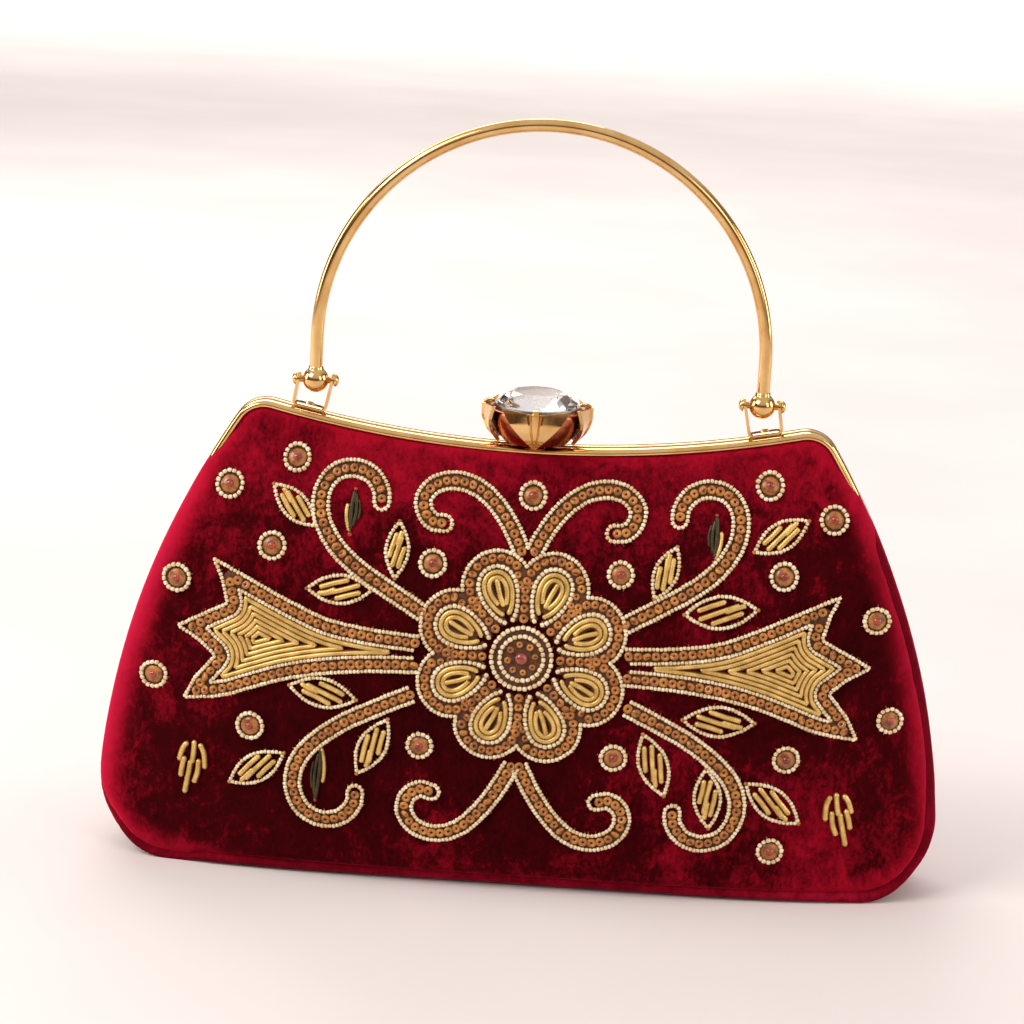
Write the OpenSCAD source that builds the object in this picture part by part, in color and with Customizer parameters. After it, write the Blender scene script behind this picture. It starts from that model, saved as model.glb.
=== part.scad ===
// Evening bag: a hard velvet case in two halves, hinged along the bottom, with a gilt
// top rail, a rocking gem clasp, a hinged wire handle and beaded work on the front.
// Millimetres. X to the right, Y to the back, Z up. Origin under the middle of the base.

/* [Case outline] */
// Width of the case at its widest
case_w = 251.4; // [246:0.2:256]
// Height of the top edge at the middle of its dip
dip_z = 129.5; // [128:0.5:131]
// Radius of the dipped top edge
dip_r = 338; // [325:1:355]
// Radius of the long curve down each side
side_r = 249; // [242:1:256]
// Radius of the bottom corners
foot_r = 23; // [20:1:26]
// Radius of the top corners
shoulder_r = 10; // [8:0.5:12]

/* [Case depth] */
// Depth of the front half at its fullest
front_d = 28; // [27:0.5:29]
// Height at which the case is fullest
belly_z = 30; // [27:1:33]
// Radius of the belly, seen from the side
belly_r = 220; // [212:1:228]
// Radius of the belly, seen from above
crown_r = 529; // [500:1:560]
// Radius of the edge between the belly and the base
base_r = 10; // [8:0.5:12]

/* [Layers] */
// Thickness of the velvet
velvet_t = 1.2; // [1:0.1:1.4]
// Thickness of the foam under the velvet faces
foam_t = 3; // [2:0.5:3]
// Thickness of the moulded board
board_t = 1.6; // [1.2:0.1:1.8]
// Thickness of the satin lining
lining_t = 0.5; // [0.4:0.1:0.6]
// Height of the beadwork above the velvet
bead_h = 1.4; // [1.2:0.1:1.8]

/* [Top rail] */
// Depth of one half of the rail
rail_d = 4.5; // [4:0.1:5]
// Thickness of the rail
rail_t = 1.6; // [1.4:0.1:1.8]
// Height at which the rail's side legs end
rail_end_z = 114; // [110:1:118]

/* [Handle] */
// Distance between the two handle pivots
pivot_gap = 130.4; // [128:0.2:132]
// Height of the handle pivots
pivot_z = 145; // [144.8:0.1:145.4]
// Diameter of the handle wire
wire_d = 3.8; // [3.4:0.1:4]
// Diameter of the ball at each end of the handle
ball_d = 7.6; // [7.2:0.1:7.8]
// Height of the straight leg between the pivot and the arch
leg_h = 12.3; // [10:0.1:16]
// Diameter of the pivot pins
pivot_pin_d = 2; // [1.8:0.1:2.2]

/* [Clasp] */
// Radius of the lotus cup at its rim
cup_r = 16.2; // [15.6:0.1:16.4]
// Height of the rim of the cup
cup_top_z = 142.2; // [141.8:0.1:142.6]
// Diameter of the crystal
gem_d = 23.7; // [23:0.1:24]
// Height of the crystal's table
gem_top_z = 146.8; // [146:0.1:147.5]

/* [Base hinge] */
// Length of the hinge
hinge_l = 198; // [180:2:200]
// Height of the hinge pin
hinge_z = 1.9; // [1.8:0.05:2]
// Number of knuckles
knuckles = 9; // [7:2:11]

/* [Hidden] */

$fn = 64;
gap = 0.15;           // half of the gap between the two halves
slip = 0.1;           // gap between layers that lie on each other
back_d = front_d + bead_h;
side_cx = side_r - case_w / 2 - 1.1;
foot_cx = sqrt(pow(side_r - foot_r, 2) - pow(foot_r, 2)) - side_cx;
dip_cz = dip_z + dip_r;
face_in = velvet_t + slip;              // outer face of the foam
board_in = face_in + foam_t + slip;     // outer face of the board, on the faces
lining_in = board_in + board_t + slip;  // outer face of the lining, on the faces
wall_in = velvet_t + slip;              // outer face of the board, on the walls
wall_lining = wall_in + board_t + slip; // outer face of the lining, on the walls
groove_y = 2.3;       // half width of the groove that holds the hinge
groove_z = 5;         // depth of that groove
pivot_x = pivot_gap / 2;
arch_z = pivot_z + leg_h;
rail_slope = asin(pivot_x / dip_r);
clevis_h = 8.9;       // height of the pivot above the clevis foot
ear_t = 0.9;          // thickness of the clevis strip
ear_in = 4.3;         // half of the room between the ears
clasp_y = 2.6;        // pivot of the clasp
clasp_z = 132.4;
clasp_pin_r = 0.7;
lug_x = 3.6;          // inner face of the clasp bracket's lugs
hook_y = -5.6;        // front of the clasp's hook
running = 0.05;       // radial clearance of everything that turns
velvet = [0.42, 0.02, 0.08];
gilt = [0.9, 0.68, 0.35];
satin = [0.32, 0.03, 0.07];

// ---------- outlines ----------

function arc(cx, cy, r, a0, a1, n) =
    [for (i = [0:n]) let (a = a0 + (a1 - a0) * i / n) [cx + r * cos(a), cy + r * sin(a)]];

// Centre of the top corner: touches the side curve from inside and the dip from below.
function shoulder() =
    let (far = norm([side_cx, dip_cz]), r1 = side_r - shoulder_r, r2 = dip_r + shoulder_r,
        along = (r1 * r1 - r2 * r2 + far * far) / (2 * far),
        across = sqrt(r1 * r1 - along * along),
        u = [side_cx, dip_cz] / far)
    [-side_cx + along * u[0] + across * u[1], along * u[1] - across * u[0]];

// Right half of the front view, from the base up to the middle of the dip.
function right_side(t) =
    let (s = shoulder(), a_foot = atan2(foot_r, foot_cx + side_cx),
        a_top = atan2(s[1], s[0] + side_cx), a_dip = atan2(dip_cz - s[1], -s[0]))
    concat(arc(foot_cx, foot_r, foot_r - t, -90, a_foot, 8),
        arc(-side_cx, 0, side_r - t, a_foot + 1.5, a_top - 1.5, 9),
        arc(s[0], s[1], shoulder_r - t, a_top, a_dip, 6),
        arc(0, dip_cz, dip_r + t, a_dip - 180 - 1.2, -90, 8));

module outline(t = 0) {
    half = right_side(t);
    n = len(half) - 1;
    polygon(concat(half, [for (i = [n - 1:-1:0]) [-half[i][0], half[i][1]]]));
}

// Side view of one half, from the plane y = y0 outwards; open above and below.
module profile(t, d, y0) {
    cy = d - belly_r;
    by = cy + sqrt(pow(belly_r - base_r, 2) - pow(belly_z - base_r, 2));
    a0 = atan2(base_r - belly_z, by - cy);
    lip = max(rail_d - 0.1 - t, y0);
    a1 = acos((lip - cy) / (belly_r - t));
    polygon(concat([[y0, -5], [by, -5]], arc(by, base_r, base_r - t, -90, a0 - 8, 5),
        arc(cy, belly_z, belly_r - t, a0, a1, 9),
        lip > y0 ? [[lip, 160], [y0, 160]] : []));
}

// Plan view of one half.
module plan(t, d, y0) {
    a = asin(133 / crown_r);
    polygon(concat([[133, y0]], arc(0, d - crown_r, crown_r - t, 90 - a, 90 + a, 12), [[-133, y0]]));
}

module along_y(from, to) {
    translate([0, to, 0]) rotate([90, 0, 0]) linear_extrude(to - from) children();
}

// Everything behind a face that lies t inside the outer face of a half.
module behind_face(t, d, y0) {
    intersection() {
        translate([-140, 0, 0]) rotate([90, 0, 90]) linear_extrude(280) profile(t, d, y0);
        translate([0, 0, -6]) linear_extrude(170) plan(t, d, y0);
    }
}

// One half as a solid: wall_t in from the outline and face_t in from the face.
module half_solid(wall_t, face_t, d, y0 = gap) {
    intersection() {
        along_y(-10, 45) outline(wall_t);
        behind_face(face_t, d, y0);
    }
}

module rail_room() {
    intersection() {
        along_y(-1, rail_d + slip) difference() {
            outline(-2);
            outline(rail_t + slip);
        }
        translate([-150, -2, rail_end_z - slip]) cube([300, 10, 60]);
    }
}

module hinge_room() {
    translate([-150, -1, -1]) cube([300, 1 + groove_y, 1 + groove_z]);
}

// ---------- layers of one half, drawn as the back half ----------

module rail_half() {
    color(gilt) intersection() {
        along_y(gap, rail_d) difference() {
            outline(0);
            outline(rail_t);
        }
        translate([-150, 0, rail_end_z]) cube([300, 10, 60]);
    }
}

module panel_half(d) {
    color(velvet) difference() {
        half_solid(0, 0, d);
        behind_face(velvet_t, d, -3);
        rail_room();
        hinge_room();
    }
}

module wall_half(d) {
    color(velvet) difference() {
        half_solid(0, velvet_t + slip, d);
        along_y(-3, 45) outline(velvet_t);
        rail_room();
        hinge_room();
    }
}

module foam_half(d) {
    color("wheat") difference() {
        half_solid(wall_in, face_in, d);
        behind_face(face_in + foam_t, d, -3);
        rail_room();
        hinge_room();
    }
}

module board_half(d) {
    color("tan") difference() {
        half_solid(wall_in, board_in, d);
        half_solid(wall_in + board_t, board_in + board_t, d, -3);
        rail_room();
        hinge_room();
        leaf_rivets(1);
    }
}

module lining_half(d) {
    color(satin) difference() {
        half_solid(wall_lining, lining_in, d);
        half_solid(wall_lining + lining_t, lining_in + lining_t, d, -3);
        hinge_room();
        leaf_rivets(1);
    }
}

// ---------- base hinge ----------

leaf_z = wall_lining + lining_t + slip;
leaf_t = 0.7;
leaf_w = 12;
knuckle_r = 1.5;
knuckle_l = hinge_l / knuckles;
rivet_r = 0.9;

// Five rivets along a leaf: 0 gives the rivets, 1 gives only their holes.
module leaf_rivets(holes) {
    for (i = [-2:2]) translate([i * hinge_l / 5, leaf_w * 0.6, 0]) {
        if (holes == 1) {
            translate([0, 0, 0.5]) cylinder(r = rivet_r, h = 6);
        } else {
            translate([0, 0, wall_in]) cylinder(r = rivet_r, h = leaf_z + leaf_t - wall_in);
            translate([0, 0, leaf_z + leaf_t]) cylinder(r1 = 1.8, r2 = 1.2, h = 0.6);
        }
    }
}

// A leaf with every second knuckle; first is 0 or 1.
module hinge_leaf(first) {
    color(gilt) difference() {
        union() {
            translate([-hinge_l / 2, 0.25, leaf_z]) cube([hinge_l, leaf_w - 0.25, leaf_t]);
            for (i = [first:2:knuckles - 1]) translate([(i - knuckles / 2) * knuckle_l, 0, 0]) {
                translate([gap, 0, hinge_z]) rotate([0, 90, 0])
                    cylinder(r = knuckle_r, h = knuckle_l - 2 * gap);
                translate([gap, 0.25, hinge_z + 0.8])
                    cube([knuckle_l - 2 * gap, 1, leaf_z - hinge_z - 0.7]);
            }
        }
        translate([-hinge_l, 0, hinge_z]) rotate([0, 90, 0])
            cylinder(r = 0.7 + running, h = 2 * hinge_l);
        leaf_rivets(1);
    }
}

module base_hinge_pin() {
    color(gilt) translate([-hinge_l / 2 - 0.5, 0, hinge_z]) rotate([0, 90, 0])
        cylinder(r = 0.7, h = hinge_l + 1);
}

// ---------- back half ----------

module back_rail() {
    difference() {
        rail_half();
        both_sides() {
            clevis_rivet(1);
            clasp_rivet(1);
        }
    }
}
module back_board() { board_half(back_d); }
module back_foam() { foam_half(back_d); }
module back_panel() { panel_half(back_d); }
module back_wall() { wall_half(back_d); }
module back_lining() { lining_half(back_d); }
module back_hinge_leaf() { hinge_leaf(0); }
module back_hinge_rivets() { color(gilt) leaf_rivets(0); }

pocket_w = 124;
pocket_z0 = 16;
pocket_z1 = 74;
pocket_in = lining_in + lining_t + slip;

// Slip pocket on the back lining, closed at the sides and the bottom.
module inner_pocket() {
    hem = 2;
    color(satin) intersection() {
        translate([-pocket_w / 2, 0, pocket_z0]) cube([pocket_w, 45, pocket_z1 - pocket_z0]);
        difference() {
            behind_face(pocket_in, back_d, 1);
            behind_face(pocket_in + 2.4, back_d, 0);
            difference() {
                behind_face(pocket_in - 1, back_d, 0);
                behind_face(pocket_in + 1.8, back_d, -1);
                translate([pocket_w / 2 - hem, -5, 0]) cube([50, 60, 100]);
                translate([-pocket_w / 2 - 50 + hem, -5, 0]) cube([50, 60, 100]);
                translate([-100, -5, 0]) cube([200, 60, pocket_z0 + hem]);
            }
        }
    }
}

gusset_x = 97;
gusset_d = 8;

// Folded satin side gusset.
module left_gusset() {
    color(satin) translate([-gusset_x - 1.2, -gusset_d, 14]) cube([1.2, 2 * gusset_d, 84]);
}
module right_gusset() {
    mirror([1, 0, 0]) left_gusset();
}

// ---------- front half ----------

module to_front() { mirror([0, 1, 0]) children(); }

module front_rail() { to_front() rail_half(); }
module front_board() { to_front() board_half(front_d); }
module front_foam() { to_front() foam_half(front_d); }
module front_panel() { to_front() panel_half(front_d); }
module front_wall() { to_front() wall_half(front_d); }
module front_lining() { to_front() lining_half(front_d); }
module front_hinge_leaf() { to_front() hinge_leaf(1); }
module front_hinge_rivets() { color(gilt) to_front() leaf_rivets(0); }

module clasp_striker() {
    color(gilt) translate([-3, -4.3, dip_z + 0.08]) cube([6, 1.5, 0.52]);
}

// ---------- beadwork on the front ----------

flower = [0, 71.6];
leaves = [ // base and tip of each leaf
    [[-62.2, 105], [-74.7, 115.3]], [[-44.5, 88], [-63.1, 87.3]], [[-38, 92], [-37.6, 107.3]],
    [[-51.9, 103.7], [-51.1, 115.3]], [[65.4, 105.1], [80.2, 114.1]], [[46.4, 86.7], [67, 89]],
    [[37.4, 90.7], [42.9, 104.9]], [[53.8, 102.2], [53.9, 114]], [[-47.5, 55.6], [-66.8, 57.6]],
    [[-37.9, 50.9], [-46, 34.3]], [[-68.2, 37.8], [-83.8, 27.4]], [[-56.9, 41.1], [-58.2, 24.8]],
    [[47.8, 56.4], [68.1, 56.1]], [[36.5, 51.3], [43.5, 33.4]], [[67.4, 37.5], [83.3, 25.9]],
    [[55.8, 41.1], [56.6, 24.7]]];
dots_both = [[68.8, 123], [87.8, 114.8], [74.2, 98.7], [101.6, 87.6], [108, 57.4], [78.4, 45.2],
    [27.2, 96.6], [28.2, 44]];
dots_single = [[0.5, 116.5], [75.7, 17]];
scrolls = [ // one side; each runs from the flower to the tip of its curl
    [[30, 84], [40, 89], [48, 93.5], [54.7, 98.7], [59.3, 105], [60.9, 110.4], [60.2, 115.8],
        [56.8, 119.9], [51.6, 121.1], [46.8, 119.6], [43.8, 116], [43.8, 111.5]],
    [[1.8, 101], [4.8, 107], [9.4, 113.1], [15.1, 117.5], [21.4, 119.3], [27.4, 118.3],
        [31, 114.6], [30.4, 110.5], [27.5, 107.9], [24, 107.5]],
    [[32, 58.3], [40.5, 54.7], [49.6, 49.9], [57, 44.4], [62.5, 38.4], [65, 32], [64.4, 25.9],
        [61, 20.9], [55.3, 18.6], [50, 20.5], [46.8, 24.8], [46.8, 29]],
    [[1.2, 39], [4.9, 32.6], [9.7, 25.6], [15.7, 19.5], [22.3, 17.3], [28.4, 19.1],
        [31.9, 23.5], [31.3, 28.6], [27.5, 31], [23.3, 30]]];
fan = [[33, 77], [60, 82], [92, 95], [86.9, 81.7], [102, 73.3], [90.1, 65.4], [99.6, 50.7],
    [60, 61.5], [33, 64.8]];
sprig = [95.5, 21];
scroll_w = 5.9;
apart = 0.3;          // least room between two motifs

// The drawn shape as a thin layer that lies on the velvet of the front face.
module on_front() {
    intersection() {
        along_y(-45, -4) children();
        to_front() difference() {
            behind_face(-bead_h, front_d, 1);
            behind_face(-0.05, front_d, 0);
        }
    }
}

module both_sides() {
    children();
    mirror([1, 0, 0]) children();
}

module stroke(p, w) {
    n = len(p) - 1;
    side = [for (i = [0:n]) let (d = p[min(i + 1, n)] - p[max(i - 1, 0)], u = d / norm(d))
        [-u[1], u[0]] * w / 2];
    polygon(concat([for (i = [0:n]) p[i] + side[i]], [for (i = [n:-1:0]) p[i] - side[i]]));
}

// A pointed leaf between two points, fullest in its middle.
module leaf(a, b, share) {
    l = norm(b - a);
    w = l * share;
    r = (l * l + w * w) / (4 * w);
    translate((a + b) / 2) rotate(atan2(b[1] - a[1], b[0] - a[0])) intersection() {
        translate([0, r - w / 2]) circle(r);
        translate([0, w / 2 - r]) circle(r);
    }
}

module flower_outline(grow) {
    translate(flower) {
        circle(21 + grow);
        for (i = [0:7]) rotate(22.5 + 45 * i) translate([21.2, 0]) circle(10.2 + grow);
    }
}

module flower_beadwork() {
    color("peru") on_front() flower_outline(0);
}
module scroll_beadwork() {
    color("peru") on_front() difference() {
        both_sides() for (s = scrolls) stroke(s, scroll_w);
        flower_outline(apart);
    }
}
module fan_beadwork() {
    color("goldenrod") on_front() both_sides() polygon(fan);
}
module leaf_bullion() {
    color("khaki") on_front() difference() {
        for (v = leaves) leaf(v[0], v[1], 0.38);
        both_sides() for (s = scrolls) stroke(s, scroll_w + 2 * apart);
    }
}
module dot_beadwork() {
    color("chocolate") on_front() {
        both_sides() for (c = dots_both) translate(c) circle(4.4);
        for (c = dots_single) translate(c) circle(4.4);
    }
}
module sprig_bullion() {
    color("khaki") on_front() both_sides() translate(sprig) {
        translate([-0.7, 0]) square([1.4, 8]);
        for (row = [0:2], side = [-1, 1])
            translate([side * 0.9, 3 + 4.2 * row]) rotate(-20 * side)
                translate([-0.7, 0]) square([1.4, 5.6]);
    }
}

// ---------- handle ----------

foot_x = pivot_x + clevis_h * sin(rail_slope);
foot_z = dip_cz - sqrt(dip_r * dip_r - foot_x * foot_x);

module at_foot() {
    translate([foot_x, 0, foot_z + slip]) rotate([0, -rail_slope, 0]) children();
}

// The rivet through the clevis foot into the rail; 1 gives the hole.
module clevis_rivet(hole) {
    at_foot() translate([0, 2.2, 0]) {
        translate([0, 0, hole == 1 ? -3 : -rail_t - slip])
            cylinder(r = 0.8, h = hole == 1 ? 6 : rail_t + slip + ear_t);
        if (hole == 0) translate([0, 0, 0.9]) cylinder(r1 = 1.5, r2 = 0.9, h = 0.5);
    }
}

module clevis() {
    color(gilt) difference() {
        at_foot() {
            translate([-5.2, -1.9, 0]) cube([10.4, 5.4, ear_t]);
            for (side = [0, 1]) mirror([side, 0, 0]) translate([ear_in, 0, 0]) {
                translate([0, -1.9, 0]) cube([ear_t, 3.8, clevis_h]);
                translate([0, 0, clevis_h]) rotate([0, 90, 0]) cylinder(r = 2.1, h = ear_t);
            }
        }
        translate([pivot_x - 10, 0, pivot_z]) rotate([0, 90, 0])
            cylinder(r = pivot_pin_d / 2, h = 20);
        clevis_rivet(1);
    }
}
module right_clevis() { clevis(); }
module left_clevis() { mirror([1, 0, 0]) clevis(); }
module rail_rivets() {
    color(gilt) both_sides() {
        clevis_rivet(0);
        clasp_rivet(0);
    }
}

module pivot_pin() {
    translate([pivot_x, 0, pivot_z]) rotate([0, 90, 0]) {
        translate([0, 0, -6.6]) cylinder(r = pivot_pin_d / 2, h = 13.2);
        for (side = [0, 1]) mirror([0, 0, side]) translate([0, 0, 5.95])
            cylinder(r1 = 2, r2 = 1.5, h = 0.8);
    }
}
module handle_pivot_pins() { color(gilt) both_sides() pivot_pin(); }

wire_in = 2.4; // depth of the wire's end above the ball's centre

module handle_arch() {
    color(gilt) {
        translate([0, 0, arch_z]) rotate([90, 0, 0])
            rotate_extrude(angle = 180) translate([pivot_x, 0]) circle(d = wire_d);
        both_sides() translate([pivot_x, 0, pivot_z + wire_in])
            cylinder(d = wire_d, h = leg_h - wire_in);
    }
}

module handle_balls() {
    color(gilt) both_sides() translate([pivot_x, 0, pivot_z]) difference() {
        union() {
            sphere(d = ball_d);
            cylinder(r = wire_d / 2 + 0.7, h = ball_d / 2 + 1);
        }
        translate([0, 0, wire_in]) cylinder(d = wire_d, h = 10);
        translate([-6, 0, 0]) rotate([0, 90, 0])
            cylinder(r = pivot_pin_d / 2 + running, h = 12);
    }
}

// ---------- clasp ----------

clasp_foot_t = 0.6;

// The rivet through the bracket's foot into the rail; 1 gives the hole.
module clasp_rivet(hole) {
    top = slip + clasp_foot_t;
    translate([2.2, 3.2, dip_z]) {
        translate([0, 0, hole == 1 ? -3 : -rail_t])
            cylinder(r = 0.5, h = hole == 1 ? 6 : rail_t + top);
        if (hole == 0) translate([0, 0, top]) cylinder(r1 = 0.8, r2 = 0.5, h = 0.2);
    }
}

module clasp_bracket() {
    color(gilt) difference() {
        union() {
            intersection() {
                translate([0, 0, dip_z + slip]) cylinder(r = 5.5, h = clasp_foot_t);
                translate([-6, 0.5, dip_z]) cube([12, 3.9, 2]);
            }
            both_sides() translate([lug_x, clasp_y - 1, dip_z + slip]) cube([0.7, 2, 2.9]);
            both_sides() translate([lug_x, clasp_y, clasp_z]) rotate([0, 90, 0])
                cylinder(r = 1.1, h = 0.7);
        }
        translate([-8, clasp_y, clasp_z]) rotate([0, 90, 0]) cylinder(r = clasp_pin_r, h = 16);
        both_sides() clasp_rivet(1);
    }
}

module clasp_pivot_pin() {
    color(gilt) translate([-lug_x - 0.8, clasp_y, clasp_z]) rotate([0, 90, 0])
        cylinder(r = clasp_pin_r, h = 2 * lug_x + 1.6);
}

// Coils of the two return springs, round the pivot pin.
module clasp_springs() {
    color("silver") for (side = [-1, 1], turn = [0:2])
        translate([side * (2.25 + 0.5 * turn), clasp_y, clasp_z]) rotate([0, 90, 0])
            rotate_extrude() translate([1.15, 0]) circle(r = 0.22);
}

module clasp_lever() {
    color(gilt) difference() {
        union() {
            translate([-1.9, clasp_y, clasp_z]) rotate([0, 90, 0]) cylinder(r = 1.5, h = 3.8);
            translate([-1.9, hook_y, clasp_z - 1.1]) cube([3.8, clasp_y - hook_y, 1.2]);
            translate([-1.7, hook_y, dip_z + 0.85]) cube([3.4, 1, 1.6]);
            translate([0, 0, clasp_z]) cylinder(r = 1.8, h = 3.6);
        }
        translate([-8, clasp_y, clasp_z]) rotate([0, 90, 0])
            cylinder(r = clasp_pin_r + running, h = 16);
    }
}

cup_low_z = dip_z + 0.95;
cup_floor_z = 134.2;
gem_z = 141.4;    // underside of the crystal's girdle

module clasp_cup() {
    skin = 1.1;
    bend = [[cup_r, cup_top_z], [cup_r, 138], [15.6, 136], [14.3, 133.7], [12.6, 131.5],
        [11.4, cup_low_z]];
    color(gilt) difference() {
        rotate_extrude() polygon(concat(bend, [[6.2, cup_low_z], [6.8, cup_floor_z],
            [0, cup_floor_z], [0, cup_floor_z + 1.4], [9.5, cup_floor_z + 1.4],
            [13.8, 137.4], [cup_r - skin, 139.6], [cup_r - skin, cup_top_z]]));
        translate([0, 0, cup_floor_z - 1]) cylinder(r = 1.8, h = 4);
        for (i = [0:3]) rotate(45 + 90 * i) translate([8, 0, cup_top_z]) rotate([0, 90, 0])
            cylinder(r = 4.2, h = 12);
    }
}

module crystal_seat() {
    color(gilt) rotate_extrude() polygon([[8.2, 137.2], [13.4, 137.6], [14.9, 139.8],
        [14.9, 140.8], [12.1, 141.3], [gem_d / 2 + 0.05, gem_z], [7.4, 137.9]]);
}

module clasp_crystal() {
    ring = gem_d / 2;
    color("white") hull() {
        translate([0, 0, 136]) cylinder(r = 0.4, h = 0.1, $fn = 8);
        translate([0, 0, gem_z + 0.1]) cylinder(r = ring, h = 0.6, $fn = 32);
        translate([0, 0, 144.6]) rotate(11.25) cylinder(r = ring * 0.82, h = 0.1, $fn = 16);
        translate([0, 0, gem_top_z - 0.1]) cylinder(r = ring * 0.58, h = 0.1, $fn = 8);
    }
}

back_rail();
back_board();
back_foam();
back_panel();
back_wall();
back_lining();
inner_pocket();
left_gusset();
right_gusset();
back_hinge_leaf();
base_hinge_pin();
back_hinge_rivets();
front_rail();
front_board();
front_foam();
front_panel();
front_wall();
front_lining();
front_hinge_leaf();
front_hinge_rivets();
clasp_striker();
flower_beadwork();
scroll_beadwork();
fan_beadwork();
leaf_bullion();
dot_beadwork();
sprig_bullion();
left_clevis();
right_clevis();
rail_rivets();
handle_pivot_pins();
handle_arch();
handle_balls();
clasp_bracket();
clasp_pivot_pin();
clasp_springs();
clasp_lever();
clasp_cup();
crystal_seat();
clasp_crystal();
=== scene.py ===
"""A hard velvet evening bag with a gilt rail, a gem clasp and a beaded front, dressed on its frame.

Lengths are millimetres until a mesh is made, and metres in Blender. X runs to the right of the
beaded front, Y to the back and Z up; the bag stands on Z = 0.
"""

import logging
import math
import random
from collections.abc import Iterable, Sequence
from dataclasses import dataclass, field
from enum import Enum
from typing import ClassVar

import bmesh
import bpy
import numpy as np
from mathutils import Matrix, Vector
from mathutils.bvhtree import BVHTree


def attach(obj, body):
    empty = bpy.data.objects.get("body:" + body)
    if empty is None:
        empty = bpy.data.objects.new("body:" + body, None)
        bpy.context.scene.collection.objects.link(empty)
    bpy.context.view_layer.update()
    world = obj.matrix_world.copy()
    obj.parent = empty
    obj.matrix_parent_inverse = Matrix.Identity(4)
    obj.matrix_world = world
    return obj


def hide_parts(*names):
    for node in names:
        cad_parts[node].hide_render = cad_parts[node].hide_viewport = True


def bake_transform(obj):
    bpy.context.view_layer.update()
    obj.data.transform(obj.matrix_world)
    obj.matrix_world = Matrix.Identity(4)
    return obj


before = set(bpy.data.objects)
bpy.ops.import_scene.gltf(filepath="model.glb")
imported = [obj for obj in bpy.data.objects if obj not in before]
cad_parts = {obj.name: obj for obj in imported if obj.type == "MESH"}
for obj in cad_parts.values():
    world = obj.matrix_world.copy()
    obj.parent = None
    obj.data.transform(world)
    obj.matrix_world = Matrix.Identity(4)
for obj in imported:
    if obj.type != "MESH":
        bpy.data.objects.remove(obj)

log = logging.getLogger("evening_bag")
MM = 0.001
UP = np.array([0.0, 0.0, 1.0])
Colour = tuple[float, float, float]


class Body(Enum):
    """The rigid bodies of the frame."""

    BACK = "back_half"
    FRONT = "front_half"
    HANDLE = "handle"
    CLASP = "clasp"


class Slot(Enum):
    """The record's material slots."""

    VELVET = "velvet"
    SATIN = "satin"
    GILT = "gilt_metal"
    BEADS = "beads"
    BULLION = "bullion"
    CRYSTAL = "crystal"


class Side(Enum):
    """The two halves of the case; the value is the sign of Y on that half."""

    FRONT = -1
    BACK = 1


def smoothstep(low: float, high: float, value: np.ndarray | float) -> np.ndarray:
    """Turns smoothly from 0 to 1.

    Args:
        low: value at which the turn starts.
        high: value at which it ends.
        value: where it is asked for.

    Returns:
        0 below low, 1 above high and a smooth step between them.
    """
    t = np.clip((np.asarray(value, float) - low) / (high - low), 0.0, 1.0)
    return t * t * (3.0 - 2.0 * t)


def lerp(a: np.ndarray | float, b: np.ndarray | float, t: np.ndarray | float) -> np.ndarray:
    """Goes from a at t = 0 to b at t = 1."""
    return a + (b - a) * t


def unit(v: np.ndarray) -> np.ndarray:
    """The vectors along the last axis at length 1."""
    return v / np.maximum(np.linalg.norm(v, axis=-1, keepdims=True), 1e-12)


# ---------------------------------------------------------------- shader writing


class Wire:
    """A value that runs through a material's nodes and can be reckoned with."""

    def __init__(self, nodes: "Nodes", socket: bpy.types.NodeSocket) -> None:
        """Keeps the output socket that gives the value."""
        self.nodes, self.socket = nodes, socket

    def _math(self, operation: str, a: "Wire | float", b: "Wire | float") -> "Wire":
        """Adds one Math node for a and b."""
        return self.nodes.add("ShaderNodeMath", {"operation": operation}, {0: a, 1: b})

    def __add__(self, other: "Wire | float") -> "Wire":
        """Self plus other."""
        return self._math("ADD", self, other)

    def __radd__(self, other: float) -> "Wire":
        """Other plus self."""
        return self._math("ADD", other, self)

    def __sub__(self, other: "Wire | float") -> "Wire":
        """Self minus other."""
        return self._math("SUBTRACT", self, other)

    def __rsub__(self, other: float) -> "Wire":
        """Other minus self."""
        return self._math("SUBTRACT", other, self)

    def __mul__(self, other: "Wire | float") -> "Wire":
        """Self times other."""
        return self._math("MULTIPLY", self, other)

    def __rmul__(self, other: float) -> "Wire":
        """Other times self."""
        return self._math("MULTIPLY", other, self)


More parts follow.
